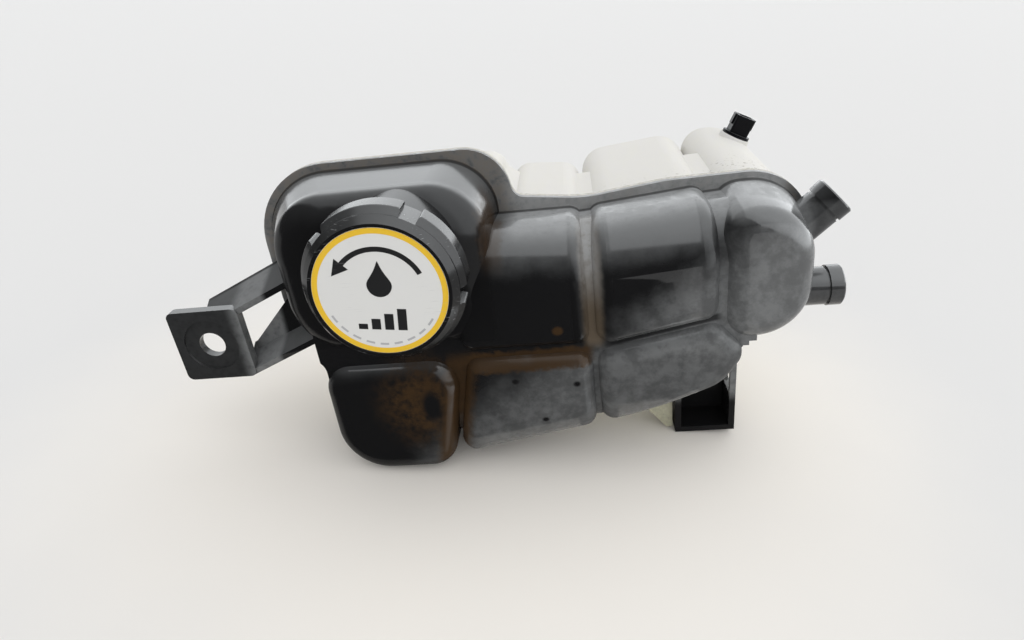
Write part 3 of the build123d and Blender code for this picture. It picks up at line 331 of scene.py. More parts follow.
def scuff_group():
    """Thin scratches and rubbed patches."""
    tree, given, made = new_group("Scuffs", {"Amount": 1.0, "Turn": 0.0}, ["Mask"])
    vector, _, _, _ = tank_place(tree)
    turn = add(tree, "ShaderNodeCombineXYZ", {1: given["Turn"]}).outputs[0]
    streak = add(tree, "ShaderNodeMapping", {"Vector": vector, "Rotation": turn, "Scale": (0.12, 0.6, 2.6)})
    lines = between(tree, noise(tree, streak.outputs[0], 1.0, 3.0, 0.5), 0.62, 0.72)
    patches = between(tree, noise(tree, vector, 0.11, 3.0), 0.48, 0.66)
    feed(tree, made["Mask"], product(tree, lines, patches, given["Amount"]))
    return tree


# Places on the black half, in millimetres on the tank's datum
CAP_GROOVE_X = 36.0
MID_GROOVE_X = 76.0
END_GROOVE_X = 129.0
LOW_GROOVE_X = 17.0
LOW_GROOVE_LEAN = 0.2
LEDGE_X = (12.0, 77.0)
LEDGE_Z = -55.0
CROSS_GROOVE_Z = -52.0
CREST_LINE = (77.0, -51.4)
CREST_RISE = 0.2
ARM_X = -71.0
STUB_X = 166.0
LIP_FRONT_Y = -3.0
FLANGE_FOOT_Y = -5.0
FOOT_TOP_Z = -104.0
CAP_FACE_Y = -33.0
MOTTLE_PLACE = (-4.0, -72.0)
MOTTLE_RADII = (17.0, 20.0)
RUBBED_PLACE = (1.0, -74.0)
RUBBED_RADII = (4.2, 8.0)
DRIP_PLACE = (60.6, -41.0)
DRIP_RADII = (2.2, 2.0)
PIT_PLACES = ((67.1, -67.1), (51.7, -85.5), (40.1, -64.0))
PIT_RADII = (1.5, 1.3)


def black_half_place(tree):
    """What the masks of the black half share, dirt and painted light alike: place, noises, a ragged shift and
    three regions.
    """
    vector, x, y, z = tank_place(tree)
    crumbs = noise(tree, vector, 0.30, 4.0, 0.62)
    broad = noise(tree, vector, 0.055, 4.0, 0.6)
    shift = calc(tree, "MULTIPLY", calc(tree, "SUBTRACT", crumbs, 0.5), 5.0)
    front = between(tree, y, -8.0, -20.0)
    above_foot = between(tree, z, FOOT_TOP_Z - 8, FOOT_TOP_Z)
    # The face behind the cap lies in the cap's shade; dust is left off it as painted shade.
    cap_front = product(tree, between(tree, y, CAP_FACE_Y + 6, CAP_FACE_Y), between(tree, z, -46.0, -42.0),
                        between(tree, x, CAP_GROOVE_X + 1, CAP_GROOVE_X - 3), 0.9)
    return SimpleNamespace(vector=vector, x=x, y=y, z=z, crumbs=crumbs, broad=broad, shift=shift, front=front,
                           above_foot=above_foot, cap_front=cap_front)


def mid_groove(tree, at, half, soft):
    """Stripe down the upright groove in the middle, with slightly ragged edges."""
    near_x = calc(tree, "ADD", at.x, calc(tree, "MULTIPLY", at.shift, 0.35))
    return product(tree, band(tree, near_x, MID_GROOVE_X, half, soft), at.front)


def silt_mask(tree, at):
    """Dry dirt in the upright groove and beside the flange."""
    groove = product(tree, mid_groove(tree, at, 1.6, 4.2), between(tree, at.z, -54.0, -48.0))
    beside = product(tree, band(tree, at.y, LIP_FRONT_Y - 0.2, 0.8, 2.2), between(tree, at.z, -60.0, -30.0),
                     between(tree, at.crumbs, 0.30, 0.62), 0.6)
    return strongest(tree, groove, beside)


def drift_mask(tree, at):
    """Thick dust: in the upright groove, on the bracket's arms and on the shoulders of the lobes."""
    groove = product(tree, mid_groove(tree, at, 0.8, 5.2), between(tree, at.z, -36.0, -6.0))
    arms = product(tree, between(tree, at.x, ARM_X, ARM_X - 4),
                   between(tree, at.x, ARM_X - 23, ARM_X - 15, 0.08, 0.62))
    shoulders = product(tree, between(tree, at.y, -34.0, -21.0), between(tree, at.z, -16.0, -6.0),
                        between(tree, at.x, CAP_GROOVE_X + 2, CAP_GROOVE_X + 12),
                        between(tree, at.x, STUB_X, STUB_X - 6),
                        between(tree, at.broad, 0.25, 0.6, 0.55, 0.9))
    drifts = strongest(tree, groove, arms, shoulders)
    return product(tree, drifts, between(tree, at.crumbs, 0.2, 0.6, 0.6, 1.0))


def rust_mask(tree, at):
    """Brown dirt in two grooves, on the ledge and on the resting lobe, with one rubbed oval."""
    wavy_x = calc(tree, "ADD", at.x, at.shift)
    wavy_z = calc(tree, "ADD", at.z, at.shift)
    beside_cap = product(tree, band(tree, wavy_x, CAP_GROOVE_X, 2.0, 4.0), between(tree, at.z, -16.0, -4.0),
                         at.front, 0.6)
    lean = calc(tree, "MULTIPLY", calc(tree, "SUBTRACT", at.z, CROSS_GROOVE_Z), LOW_GROOVE_LEAN)
    low = product(tree, band(tree, calc(tree, "SUBTRACT", wavy_x, lean), LOW_GROOVE_X, 4.0, 6.0),
                  between(tree, at.z, CROSS_GROOVE_Z + 4, CROSS_GROOVE_Z - 4))
    left, right = LEDGE_X
    ledge = product(tree, band(tree, wavy_z, LEDGE_Z, 2.6, 2.6), between(tree, at.x, left, left + 10),
                    between(tree, at.x, right, right - 5), at.front)
    cloud = calc(tree, "ADD", calc(tree, "MULTIPLY", at.crumbs, 0.9), calc(tree, "MULTIPLY", at.broad, 0.6))
    mottle = product(tree, spot(tree, at.x, at.z, MOTTLE_PLACE, MOTTLE_RADII, 0.55),
                     between(tree, cloud, 0.50, 0.95), at.front)
    drip = product(tree, spot(tree, at.x, at.z, DRIP_PLACE, DRIP_RADII), at.front)
    rubbed = spot(tree, at.x, at.z, RUBBED_PLACE, RUBBED_RADII)
    return product(tree, strongest(tree, beside_cap, low, ledge, mottle, drip),
                   between(tree, at.broad, 0.25, 0.55, 0.6, 1.0), calc(tree, "SUBTRACT", 1.0, rubbed))


def haze_mask(tree, at):
    """Thin dust film that thickens towards the right end, off the foot and off the top of the end lobe."""
    slant = calc(tree, "ADD", at.x, calc(tree, "MULTIPLY", calc(tree, "ADD", at.z, 10.0), -1.2))
    cloud = calc(tree, "MULTIPLY", calc(tree, "SUBTRACT", at.broad, 0.5), 45.0)
    lower_row = between(tree, at.z, CROSS_GROOVE_Z, CROSS_GROOVE_Z - 8, 0.0, 24.0)
    reach = calc(tree, "ADD", calc(tree, "ADD", slant, cloud), lower_row)
    patches = between(tree, noise(tree, at.vector, 0.13, 5.0, 0.65), 0.36, 0.64, 0.62, 1.0)
    end_top = product(tree, between(tree, at.x, END_GROOVE_X, END_GROOVE_X + 3),
                      between(tree, at.z, -2.0, 2.0))
    return product(tree, between(tree, reach, 108.0, 162.0), patches, at.above_foot,
                   between(tree, at.z, CROSS_GROOVE_Z, CROSS_GROOVE_Z - 8, 1.0, 0.76),
                   between(tree, at.x, STUB_X + 5, STUB_X - 1, 0.30, 1.0), between(tree, at.y, 0.0, -6.0),
                   calc(tree, "SUBTRACT", 1.0, end_top))


def lip_dust_and_highlight_mask(tree, at):
    """Dust and a painted highlight on the front and the rim of the flange."""
    in_front = between(tree, at.y, LIP_FRONT_Y, LIP_FRONT_Y + 0.8)
    flange = product(tree, in_front, between(tree, at.y, 0.6, 0.1))
    return product(tree, flange, at.above_foot, between(tree, at.crumbs, 0.25, 0.6, 0.5, 1.0))


def pit_shade_mask(tree, at):
    """Painted shade: dark spots for small dents on the lower row of lobes."""
    return strongest(tree, *(spot(tree, at.x, at.z, place, PIT_RADII, 0.5) for place in PIT_PLACES))


def crease_shade_mask(tree, at):
    """Painted shade: dark lines under the crest lobe and where the lobes leave the flange."""
    start_x, start_z = CREST_LINE
    rise = calc(tree, "MULTIPLY", calc(tree, "SUBTRACT", at.x, start_x), CREST_RISE)
    under_crest = product(tree, band(tree, calc(tree, "SUBTRACT", at.z, rise), start_z, 0.8, 1.4), at.front,
                          between(tree, at.x, start_x + 1, start_x + 7),
                          between(tree, at.x, END_GROOVE_X + 2, END_GROOVE_X - 2))
    at_flange = product(tree, band(tree, at.y, FLANGE_FOOT_Y, 0.9, 1.4),
                        between(tree, at.z, -40.0, -20.0), 0.85)
    return strongest(tree, under_crest, at_flange)


def worn_mask(tree, at):
    """Edges of two upright grooves and the face behind the cap, which have lost their gloss."""
    edges = strongest(tree, *(band(tree, at.x, middle, 8.0, 2.0) for middle in (MID_GROOVE_X, END_GROOVE_X)))
    return product(tree, strongest(tree, edges, at.cap_front), at.front, 0.8)


def foot_shade_mask(tree, at):
    """The foot under the right end, kept clean black without dust as painted shade."""
    return calc(tree, "SUBTRACT", 1.0, at.above_foot)


def bare_and_cap_shade_mask(tree, at):
    """Faces left without settled dust: the resting lobe, the upper hose stub and the face behind the cap,
    where leaving the dust off is painted shade under the cap.
    """
    rest_lobe = product(tree, between(tree, at.z, CROSS_GROOVE_Z + 2, CROSS_GROOVE_Z - 6),
                        between(tree, at.x, LOW_GROOVE_X + 9, LOW_GROOVE_X - 3), 0.85)
    stub = product(tree, between(tree, at.x, STUB_X, STUB_X + 5), between(tree, at.z, -26.0, -18.0), 0.6)
    return strongest(tree, rest_lobe, at.cap_front, stub)


# Masks of the black half: dirt and dust, and painted shade and highlight.
DIRT_AND_LIGHT_MASKS = {
    "Rust": rust_mask,
    "Silt": silt_mask,
    "Drift": drift_mask,
    "Haze": haze_mask,
    "Lip dust and highlight": lip_dust_and_highlight_mask,
    "Pit shade": pit_shade_mask,
    "Crease shade": crease_shade_mask,
    "Worn": worn_mask,
    "Foot": foot_shade_mask,
    "Bare and cap shade": bare_and_cap_shade_mask,
}


def groove_dirt_and_light_group():
    """All masks of the black half: dust and dirt, and painted shade and highlight."""
    tree, _, made = new_group("Groove dirt and painted light", {}, list(DIRT_AND_LIGHT_MASKS))
    at = black_half_place(tree)
    for name, mask in DIRT_AND_LIGHT_MASKS.items():
        feed(tree, made[name], mask(tree, at))
    return tree


GROUP_MAKERS = {
    "Settled dust": dust_group,
    "Moulded grain": grain_group,
    "Scuffs": scuff_group,
    "Groove dirt and painted light": groove_dirt_and_light_group,
}


def use_group(tree, name, **inputs):
    """A placed node group with its own values. The group itself is made once."""
    group = bpy.data.node_groups.get(name) or GROUP_MAKERS[name]()
    node = add(tree, "ShaderNodeGroup", node_tree=group)
    for key, value in inputs.items():
        feed(tree, node.inputs[key], value)
    return node.outputs


def new_material(name, constants):
    """Material with one shader, and the values that hold all over its surface."""
    material = bpy.data.materials.new(name)
    material.use_nodes = True
    tree = material.node_tree
    tree.nodes.clear()
    shader = add(tree, "ShaderNodeBsdfPrincipled", constants)
    add(tree, "ShaderNodeOutputMaterial", {"Surface": shader.outputs[0]})
    return material, tree, shader.inputs


def relief(tree, shader, height):
    """Feed a height in millimetres to the surface as a bump."""
    inputs = {"Height": height, "Distance": MM, "Strength": 1.0}
    feed(tree, shader["Normal"], add(tree, "ShaderNodeBump", inputs).outputs[0])


def black_moulding():
    """Black half: glossy plastic under dust, silt and brown dirt, with painted shade in creases, pits, behind
    the cap and on the foot, and a painted highlight on the flange lip.
    """
    tint = settings("tank_finish")
    constants = {"Specular IOR Level": 0.0, "Roughness": 0.6, "Coat IOR": 1.5}
    material, tree, shader = new_material("black_moulding", constants)
    dust = use_group(tree, "Settled dust", Amount=0.30, Patch=0.05)["Mask"]
    # Masks of dirt and dust, with painted shade in creases, pits, behind the cap and on the foot, and a
    # painted highlight on the flange lip.
    dirt = use_group(tree, "Groove dirt and painted light")
    # Dust is left off the bare faces; behind the cap this is painted shade.
    dust = calc(tree, "MULTIPLY", dust, calc(tree, "SUBTRACT", 1.0, dirt["Bare and cap shade"]))
    haze = calc(tree, "MULTIPLY", dirt["Haze"], 0.42)
    # The flange lip is painted light grey: partly dust, partly a painted highlight.
    lip_dust_and_highlight = calc(tree, "MULTIPLY", dirt["Lip dust and highlight"], 0.62)
    dusty = blend_colour(tree, strongest(tree, dust, haze, lip_dust_and_highlight), opaque(tint.black), opaque(tint.dust))
    silted = blend_colour(tree, calc(tree, "MULTIPLY", dirt["Silt"], 0.8), dusty, opaque(tint.silt))
    drifted = blend_colour(tree, calc(tree, "MULTIPLY", dirt["Drift"], 0.8), silted, opaque(tint.dust))
    rusty = blend_colour(tree, calc(tree, "MULTIPLY", dirt["Rust"], 0.9), drifted, opaque(tint.rust))
    # Painted shade: creases and small dents are darkened to clean black.
    dark = strongest(tree, dirt["Pit shade"], calc(tree, "MULTIPLY", dirt["Crease shade"], 0.85))
    shaded_creases_and_pits = blend_colour(tree, dark, rusty, opaque(tint.black))
    # Painted shade: the foot under the right end is kept clean black, without dust.
    clean = tuple(1.2 * part for part in tint.black)
    feed(tree, shader["Base Color"], blend_colour(tree, dirt["Foot"], shaded_creases_and_pits, opaque(clean)))
    dull = strongest(tree, dirt["Silt"], dirt["Rust"], dirt["Lip dust and highlight"], dirt["Drift"], dirt["Foot"],
                     dirt["Crease shade"], dirt["Worn"], calc(tree, "MULTIPLY", dirt["Bare and cap shade"], 0.8),
                     calc(tree, "MULTIPLY", dust, 2.0))
    feed(tree, shader["Coat Weight"], between(tree, dull, 0.0, 1.0, 1.0, 0.2))
    blurred = strongest(tree, dull, dirt["Haze"])
    feed(tree, shader["Coat Roughness"], between(tree, blurred, 0.0, 1.0, 0.05, 0.22))
    relief(tree, shader, use_group(tree, "Moulded grain", Grain=0.006, Wave=0.20)["Height"])
    return material


def natural_moulding():
    """Off-white half: translucent plastic, darker and yellow-green low down (part coolant tint, part painted
    shade near the floor), with specks beside the flange.
    """
    tint = settings("tank_finish")
    constants = {"Subsurface Weight": 0.25, "Subsurface Radius": (0.006, 0.006, 0.004),
                 "Subsurface Scale": 1.0, "Specular IOR Level": 0.0, "Coat Weight": 0.05,
                 "Coat Roughness": 0.35, "Coat IOR": 1.49}
    material, tree, shader = new_material("natural_moulding", constants)
    vector, x, y, z = tank_place(tree)
    broad = noise(tree, vector, 0.035, 4.0)
    crumbs = noise(tree, vector, 0.55, 4.0, 0.65)
    # Painted shade with a coolant tint: the wall turns darker and yellow-green towards the bottom.
    low = between(tree, calc(tree, "ADD", z, calc(tree, "MULTIPLY", broad, 30.0)), -60.0, -105.0)
    tinted_and_shaded_low = blend_colour(tree, calc(tree, "MULTIPLY", low, 0.75), opaque(tint.natural), opaque(tint.low_tint_and_shade))
    near = between(tree, calc(tree, "SUBTRACT", y, between(tree, x, 110.0, 140.0, 0.0, 16.0)), 26.0, 4.0)
    specks = product(tree, between(tree, crumbs, 0.58, 0.70), near, between(tree, broad, 0.32, 0.55))
    film = product(tree, between(tree, y, 9.0, 2.5), between(tree, crumbs, 0.30, 0.65, 0.15, 0.55))
    dirt = strongest(tree, specks, film)
    feed(tree, shader["Base Color"], blend_colour(tree, dirt, tinted_and_shaded_low, opaque(tint.speck)))
    feed(tree, shader["Roughness"], between(tree, crumbs, 0.2, 0.8, 0.38, 0.52))
    relief(tree, shader, use_group(tree, "Moulded grain", Grain=0.02, Wave=0.2)["Height"])
    return material


def cap_plastic():
    """Cap: black with dust on its upper side and grey rubbed streaks, partly wear and partly a painted
    highlight on the grips.
    """
    tint = settings("tank_finish")
    constants = {"Specular IOR Level": 0.0, "Roughness": 0.6, "Coat IOR": 1.5}
    material, tree, shader = new_material("cap_plastic", constants)
    dust = use_group(tree, "Settled dust", Amount=0.10, Patch=0.12)["Mask"]
    scuffs = use_group(tree, "Scuffs", Amount=0.8, Turn=0.6)["Mask"]
    dusty = blend_colour(tree, dust, opaque(tint.black), opaque(tint.dust))
    # Grey streaks over the cap: partly rubbed wear, partly a painted highlight.
    feed(tree, shader["Base Color"], blend_colour(tree, scuffs, dusty, opaque(tint.dust)))
    feed(tree, shader["Coat Weight"], between(tree, scuffs, 0.0, 0.5, 0.55, 0.25))
    feed(tree, shader["Coat Roughness"], between(tree, dust, 0.0, 0.2, 0.18, 0.26))
    relief(tree, shader, use_group(tree, "Moulded grain", Grain=0.012, Wave=0.10)["Height"])
    return material


def plain_plastic(name, base, rough, shine=0.25):
    """Clean moulded plastic with a little grain and dust."""
    tint = settings("tank_finish")
    constants = {"IOR": 1.5, "Specular IOR Level": shine}
    material, tree, shader = new_material(name, constants)
    dust = use_group(tree, "Settled dust", Amount=0.08, Patch=0.2)["Mask"]
    feed(tree, shader["Base Color"], blend_colour(tree, dust, opaque(base), opaque(tint.dust)))
    feed(tree, shader["Roughness"], between(tree, dust, 0.0, 0.1, rough, rough + 0.12))
    relief(tree, shader, use_group(tree, "Moulded grain", Grain=0.03, Wave=0.05)["Height"])
    return material


def print_film(name, base):
    """Printed film of the label: smooth, with light scuffs."""
    tint = settings("tank_finish")
    material, tree, shader = new_material(name, {"IOR": 1.5, "Coat Weight": 0.3, "Coat Roughness": 0.15})
    scuffs = use_group(tree, "Scuffs", Amount=0.25, Turn=1.1)["Mask"]
    feed(tree, shader["Base Color"], blend_colour(tree, scuffs, opaque(base), opaque(tint.pale_ink)))
    feed(tree, shader["Roughness"], between(tree, scuffs, 0.0, 0.3, 0.35, 0.6))
    relief(tree, shader, use_group(tree, "Moulded grain", Grain=0.004, Wave=0.03)["Height"])
    return material


def worked_metal(name, base):
    """Drawn or turned metal with fine scratches."""
    material, tree, shader = new_material(name, {"Metallic": 1.0})
    scuffs = use_group(tree, "Scuffs", Amount=0.7, Turn=0.3)["Mask"]
    darker = tuple(0.45 * part for part in base)
    feed(tree, shader["Base Color"], blend_colour(tree, scuffs, opaque(base), opaque(darker)))
    feed(tree, shader["Roughness"], between(tree, scuffs, 0.0, 0.7, 0.28, 0.5))
    relief(tree, shader, use_group(tree, "Moulded grain", Grain=0.006, Wave=0.0)["Height"])
    return material


def seal_rubber():
    """Black seal rubber with a dull bloom."""
    material, tree, shader = new_material("seal_rubber", {"IOR": 1.52})
    vector, _, _, _ = tank_place(tree)
    bloom = between(tree, noise(tree, vector, 0.4, 3.0), 0.4, 0.7)
    clean, dull = (0.010, 0.010, 0.010), (0.028, 0.027, 0.026)
    feed(tree, shader["Base Color"], blend_colour(tree, bloom, opaque(clean), opaque(dull)))
    feed(tree, shader["Roughness"], between(tree, bloom, 0.0, 1.0, 0.55, 0.75))
    relief(tree, shader, use_group(tree, "Moulded grain", Grain=0.02, Wave=0.0)["Height"])
    return material


def reed_glass():
    """Green glass of the reed switch."""
    constants = {"Transmission Weight": 1.0, "IOR": 1.5, "Metallic": 0.0}
    material, tree, shader = new_material("reed_glass", constants)
    vector, _, _, _ = tank_place(tree)
    cloud = noise(tree, vector, 0.5, 2.0)
    deep, pale = (0.70, 0.86, 0.74), (0.80, 0.90, 0.82)
    feed(tree, shader["Base Color"], blend_colour(tree, cloud, opaque(deep), opaque(pale)))
    feed(tree, shader["Roughness"], between(tree, cloud, 0.3, 0.7, 0.03, 0.08))
    relief(tree, shader, use_group(tree, "Moulded grain", Grain=0.0, Wave=0.02)["Height"])
    return material


def dress(material, *nodes):
    """Give CAD nodes their finish."""
    for name in nodes:
        frame["nodes"][name].material_slots[0].material = material


def new_piece(name, mesh, material, body):
    """Finished object from a bmesh, riding on its body."""
    bmesh.ops.remove_doubles(mesh, verts=mesh.verts, dist=1e-7)
    bmesh.ops.recalc_face_normals(mesh, faces=mesh.faces)
    data = bpy.data.meshes.new(name)
    mesh.to_mesh(data)
    mesh.free()
    data.materials.append(material)
    piece = bpy.data.objects.new(name, data)
    bpy.context.scene.collection.objects.link(piece)
    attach(piece, body)
    return piece


def axis_point(u, v, y):
    """A point beside the cap's axis: u to the right, v up, y along the axis."""
    return Vector((filler.x + u, y, filler.z + v))


def swept_bar(mesh, section, sweep, steps, advance=0.0, start=0.0):
    """Sweep a closed section of (radius, y) points about the cap's axis. A full turn joins up."""
    right = Vector((math.cos(start), math.sin(start)))
    verts = [mesh.verts.new(axis_point(right.x * r, right.y * r, y)) for r, y in section]
    edges = [mesh.edges.new((verts[i - 1], verts[i])) for i in range(len(verts))]
    full = abs(sweep) > 2 * math.pi - 1e-6 and not advance
    if not full:
        mesh.faces.new(verts)
    made = bmesh.ops.spin(mesh, geom=verts + edges, cent=axis_point(0, 0, 0), axis=(0, -1, 0), angle=sweep,
                          dvec=(0, -advance / steps, 0), steps=steps, use_merge=full, use_duplicate=False)
    if not full:
        mesh.faces.new([item for item in made["geom_last"] if isinstance(item, bmesh.types.BMVert)])


def flat_plate(mesh, outline, low, high):
    """Thin plate from an outline of (u, v) points between two places along the axis."""
    face = mesh.faces.new([mesh.verts.new(axis_point(u, v, low)) for u, v in outline])
    grown = bmesh.ops.extrude_face_region(mesh, geom=[face])["geom"]
    verts = [item for item in grown if isinstance(item, bmesh.types.BMVert)]
    bmesh.ops.translate(mesh, verts=verts, vec=(0, high - low, 0))


class TANK_OT_shells(bpy.types.Operator):
    """Finish the two moulded halves"""

    bl_idname = "tank.shells"
    bl_label = "Tank halves"

    def execute(self, context):
        dress(black_moulding(), "upper_shell")
        dress(natural_moulding(), "lower_shell")
        return {"FINISHED"}


class TANK_OT_cap(bpy.types.Operator):
    """Finish the cap and its insert, and cut the screw thread"""

    bl_idname = "tank.cap"
    bl_label = "Cap and thread"

    def execute(self, context):
        thread = settings("tank_thread")
        tint = settings("tank_finish")
        cap = cap_plastic()
        dress(cap, "cap_shell")
        insert = plain_plastic("insert_plastic", (0.016, 0.016, 0.018), 0.42)
        dress(insert, "cap_plug", "valve_retainer")
        dress(seal_rubber(), "plug_seal", "relief_seal", "sensor_seal")
        dress(worked_metal("bright_steel", tint.steel), "relief_plate", "float_keeper", "sensor_terminals")
        dress(worked_metal("valve_brass", tint.brass), "vacuum_valve", "vacuum_keeper")
        half_foot = thread.foot / 2
        half_crest = thread.crest / 2
        start = datum.y - thread.start
        steps = round(thread.steps * thread.turns)
        black = frame["nodes"]["upper_shell"].material_slots[0].material
        rows = (
            ("neck_thread", thread.neck_radius, 1, start, black, "tank", "black_moulding"),
            ("cap_thread", thread.bore_radius, -1, start - thread.pitch / 2, cap, "cap", "cap_plastic"),
        )
        for name, wall, side, y, material, body, slot in rows:
            mesh = bmesh.new()
            root = wall - side * thread.sunk
            tip = wall + side * thread.ridge
            section = [(root, y + half_foot), (tip, y + half_crest),
                       (tip, y - half_crest), (root, y - half_foot)]
            swept_bar(mesh, section, 2 * math.pi * thread.turns, steps, thread.pitch * thread.turns)
            new_piece(name, mesh, material, body)
        return {"FINISHED"}


class TANK_OT_springs(bpy.types.Operator):
    """Wind the two valve springs, which take the place of the plain spring parts"""

    bl_idname = "tank.springs"
    bl_label = "Valve springs"

    def execute(self, context):
        size = settings("tank_springs")
        steel = worked_metal("spring_steel", settings("tank_finish").steel)
        rows = (
            ("relief_spring", "relief_coil", "relief_lift", "cap_insert", size.relief_wire, True),
            ("vacuum_spring", "vacuum_coil", "vacuum_open", "relief_valve", size.vacuum_wire, False),
        )
        for node, name, joint, body, wire, held_in_front in rows:
            low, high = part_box(node)
            tall = high.y - low.y
            middle = (high.x - low.x) / 2 - wire
            section = []
            for i in range(size.sides):
                turn = 2 * math.pi * i / size.sides
                section.append((middle + wire * math.cos(turn), high.y - wire + wire * math.sin(turn)))
            steps = round(size.steps * size.turns)
            mesh = bmesh.new()
            swept_bar(mesh, section, 2 * math.pi * size.turns, steps, tall - 2 * wire)
            for face in mesh.faces:
                face.smooth = True
            piece = new_piece(name, mesh, steel, body)
            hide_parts(node)
            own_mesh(piece)
        return {"FINISHED"}


def film_section(inner, outer, back, front):
    """Section of a round print between two radii."""
    return [(inner, back), (outer, back), (outer, front), (inner, front)]


def print_ring(mesh, size, back, front):
    """Yellow ring along the label's edge."""
    section = film_section(size.radius - size.ring_width, size.radius, back, front)
    swept_bar(mesh, section, 2 * math.pi, 128)


def print_arrow(mesh, size, back, front):
    """Turn arrow over the middle: a bent shaft with its head."""
    half = size.arrow_width / 2
    section = film_section(size.arrow_radius - half, size.arrow_radius + half, back, front)
    swept_bar(mesh, section, size.arrow_sweep, 40, start=size.arrow_from)
    end = size.arrow_from + size.arrow_sweep
    head = 2.2 * size.arrow_width
    along = Vector((-math.sin(end), math.cos(end)))
    out = Vector((math.cos(end), math.sin(end)))
    corners = [out * (size.arrow_radius - 0.75 * head), out * (size.arrow_radius + 0.75 * head),
               out * size.arrow_radius + along * 1.5 * head]
    flat_plate(mesh, corners, back, front)


def print_drop(mesh, size, back, front):
    """Drop in the middle: a circle drawn out to a point at its top."""
    count = 48
    points = []
    for i in range(count):
        turn = 2 * math.pi * i / count
        point = Vector((math.cos(turn), math.sin(turn))) * size.drop_radius
        rise = max(0.0, math.sin(turn)) ** 3
        points.append((point.x * (1 - 0.75 * rise), size.drop_rise + point.y * (1 + 1.05 * rise)))
    flat_plate(mesh, points, back, front)


def print_bars(mesh, size, back, front):
    """Row of rising level bars under the drop."""
    pitch = 1.45 * size.bar_width
    foot = -size.bar_foot
    for i in range(size.bar_count):
        left = (i - (size.bar_count - 1) / 2) * pitch - size.bar_width / 2
        right = left + size.bar_width
        top = foot + size.bar_height * (i + 1) / size.bar_count
        flat_plate(mesh, [(left, foot), (right, foot), (right, top), (left, top)], back, front)


def print_dashes(mesh, size, back, front):
    """Row of grey dashes along the lower rim."""
    outer = size.radius - size.ring_width - size.dash_gap
    section = film_section(outer - size.dash_width, outer, back, front)
    pitch = (size.dash_to - size.dash_from) / (size.dash_count - 1)
    for i in range(size.dash_count):
        swept_bar(mesh, section, 0.6 * pitch, 6, start=size.dash_from + (i - 0.3) * pitch)


class TANK_OT_label(bpy.types.Operator):
    """Print the cap's label"""

    bl_idname = "tank.label"
    bl_label = "Label"

    def execute(self, context):
        tint = settings("tank_finish")
        size = settings("tank_label")
        dress(print_film("label_ground", tint.label), "cap_label")
        yellow = print_film("label_yellow", tint.ring)
        ink = print_film("label_ink", tint.ink)
        grey = print_film("label_grey", tint.pale_ink)
        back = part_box("cap_label")[0].y
        front = back - size.film
        prints = (
            ("label_ring", print_ring, yellow),
            ("label_arrow", print_arrow, ink),
            ("label_drop", print_drop, ink),
            ("label_bars", print_bars, ink),
            ("label_dashes", print_dashes, grey),
        )
        for name, draw, film in prints:
            mesh = bmesh.new()
            draw(mesh, size, back, front)
            new_piece(name, mesh, film, "cap")
        return {"FINISHED"}


class TANK_OT_sensor(bpy.types.Operator):
    """Finish the level sensor and its float"""

    bl_idname = "tank.sensor"
    bl_label = "Level sensor"

    def execute(self, context):
        dress(plain_plastic("sensor_plastic", (0.005, 0.005, 0.006), 0.42, 0.08), "sensor_body")
        dress(reed_glass(), "reed_capsule")
        dress(plain_plastic("float_plastic", (0.72, 0.70, 0.63), 0.6), "float_ring")
        dress(plain_plastic("magnet_ferrite", (0.045, 0.045, 0.05), 0.5), "float_magnet")
        return {"FINISHED"}


def floor_finish(stage):
    """Pale floor with painted light: brighter and warmer around the tank, which lifts and warms its shadow.
    """
    material, tree, shader = new_material("floor", {"Roughness": 0.9, "Specular IOR Level": 0.1})
    place = add(tree, "ShaderNodeTexCoord").outputs["Object"]
    cloud = calc(tree, "MULTIPLY", calc(tree, "SUBTRACT", noise(tree, place, 6.0, 3.0), 0.5), 0.08)
    away = add(tree, "ShaderNodeVectorMath", {0: place}, operation="LENGTH").outputs["Value"]
    # Painted light: the floor colour turns brighter and warmer near the tank.
    near = between(tree, calc(tree, "ADD", away, cloud), stage.painted_light_outside, stage.painted_light_inside)
    floor_with_painted_light = blend_colour(tree, near, opaque(stage.floor), opaque(stage.floor_painted_light))
    feed(tree, shader["Base Color"], floor_with_painted_light)
    return material


def floor_plane(name, left, right, front, back, material):
    """One flat stretch of the floor."""
    mesh = bmesh.new()
    corners = [(left, front), (right, front), (right, back), (left, back)]
    mesh.faces.new([mesh.verts.new((x, y, 0)) for x, y in corners])
    data = bpy.data.meshes.new(name)
    mesh.to_mesh(data)
    mesh.free()
    data.materials.append(material)
    plane = bpy.data.objects.new(name, data)
    bpy.context.scene.collection.objects.link(plane)
    return plane


def cosine_to(tree, ray, direction):
    """Cosine between a ray and a direction."""
    aim = Vector(direction).normalized()
    return add(tree, "ShaderNodeVectorMath", {0: ray, 1: aim}, operation="DOT_PRODUCT").outputs["Value"]


def background(tree, tint, level):
    """Evenly coloured sky."""
    return add(tree, "ShaderNodeBackground", {"Color": opaque(tint), "Strength": level}).outputs[0]


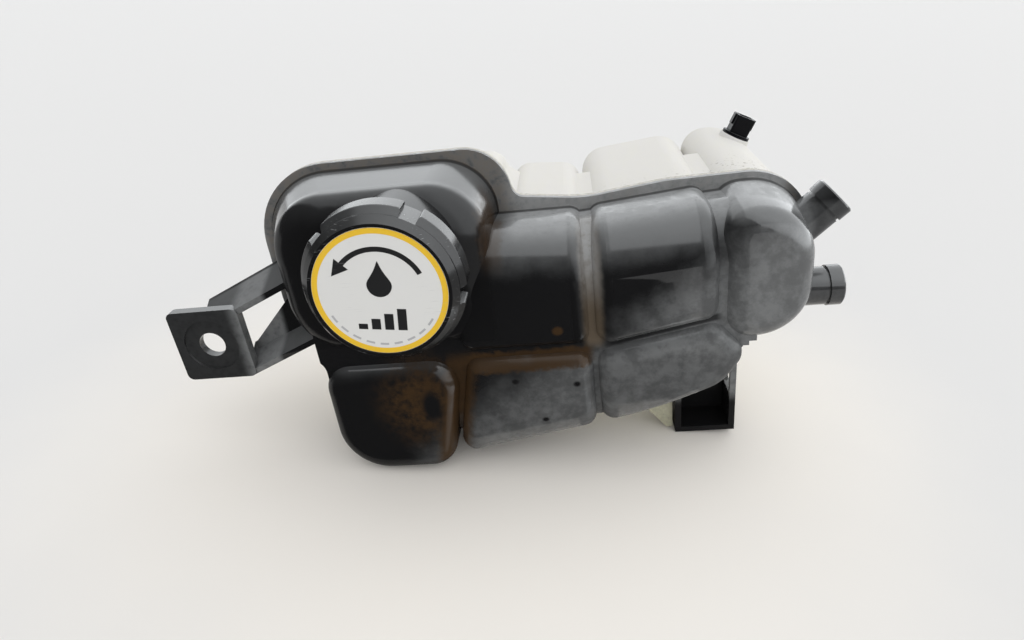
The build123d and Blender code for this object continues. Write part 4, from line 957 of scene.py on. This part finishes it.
def studio(stage):
    """Soft light from one side, a bright wall for reflections and a pale backdrop for the camera."""
    world = bpy.data.worlds.new("studio")
    world.use_nodes = True
    tree = world.node_tree
    tree.nodes.clear()
    ray = add(tree, "ShaderNodeTexCoord").outputs["Generated"]
    facing = cosine_to(tree, ray, stage.light_from)
    edge = stage.light_edge
    wall = between(tree, facing, edge, edge + 0.6, stage.bright_low, stage.bright)
    lit = product(tree, between(tree, facing, edge - 0.03, edge + 0.03), wall)
    mirrored = background(tree, (0.95, 0.98, 1.0), calc(tree, "ADD", lit, stage.dim))
    turned = cosine_to(tree, ray, stage.open_side)
    soft = background(tree, (1.0, 1.0, 1.0), between(tree, turned, -0.5, 0.7, stage.light_back, stage.light))
    white = background(tree, (stage.backdrop,) * 3, 1.0)
    path = add(tree, "ShaderNodeLightPath").outputs
    sky = add(tree, "ShaderNodeMixShader", {0: path["Is Glossy Ray"], 1: soft, 2: mirrored}).outputs[0]
    seen = add(tree, "ShaderNodeMixShader", {0: path["Is Camera Ray"], 1: sky, 2: white}).outputs[0]
    add(tree, "ShaderNodeOutputWorld", {"Surface": seen})
    return world


def photo_camera(stage):
    """Camera at the angle of the photograph."""
    data = bpy.data.cameras.new("photo_camera")
    data.lens = stage.lens
    data.sensor_width = 36.0
    data.clip_start = 0.01
    camera = bpy.data.objects.new("photo_camera", data)
    camera.location = stage.camera_place
    camera.rotation_euler = (math.pi / 2 - stage.camera_pitch, 0, stage.camera_yaw)
    return camera


class TANK_OT_stage(bpy.types.Operator):
    """Lay the floor, light the scene and set up the camera"""

    bl_idname = "tank.stage"
    bl_label = "Stage"

    def execute(self, context):
        stage = settings("tank_stage")
        scene = context.scene
        scene.view_settings.view_transform = "Standard"
        material = floor_finish(stage)
        reach = stage.floor_reach
        floor_plane("floor", -reach, reach, stage.dark_from, reach, material)
        floor_plane("floor_right", stage.dark_right, reach, -reach, stage.dark_from, material)
        front = floor_plane("floor_front", -reach, stage.dark_right, -reach, stage.dark_from, material)
        front.visible_glossy = False
        scene.world = studio(stage)
        camera = photo_camera(stage)
        scene.collection.objects.link(camera)
        scene.camera = camera
        return {"FINISHED"}


class TANK_PT_panel(bpy.types.Panel):
    """Steps of the tank in the sidebar"""

    bl_idname = "TANK_PT_panel"
    bl_label = "Coolant tank"
    bl_space_type = "VIEW_3D"
    bl_region_type = "UI"
    bl_category = "Tank"

    def draw(self, context):
        for step in STEPS:
            self.layout.operator(step.bl_idname)


STEPS = (TANK_OT_shells, TANK_OT_cap, TANK_OT_springs, TANK_OT_label, TANK_OT_sensor, TANK_OT_stage)
GROUPS = {
    "tank_stage": StageSettings,
    "tank_finish": FinishSettings,
    "tank_label": LabelSettings,
    "tank_thread": ThreadSettings,
    "tank_springs": SpringSettings,
}


def register():
    """Add the settings, steps and panel to Blender."""
    for kind in (*GROUPS.values(), *STEPS, TANK_PT_panel):
        bpy.utils.register_class(kind)
    for name, kind in GROUPS.items():
        setattr(bpy.types.Scene, name, PointerProperty(type=kind))


def unregister():
    """Take them out again."""
    for name in GROUPS:
        delattr(bpy.types.Scene, name)
    for kind in (TANK_PT_panel, *STEPS, *GROUPS.values()):
        bpy.utils.unregister_class(kind)


def main():
    """Register, then run every step in order."""
    register()
    for step in STEPS:
        family, name = step.bl_idname.split(".")
        getattr(getattr(bpy.ops, family), name)()


if __name__ == "__main__":
    main()
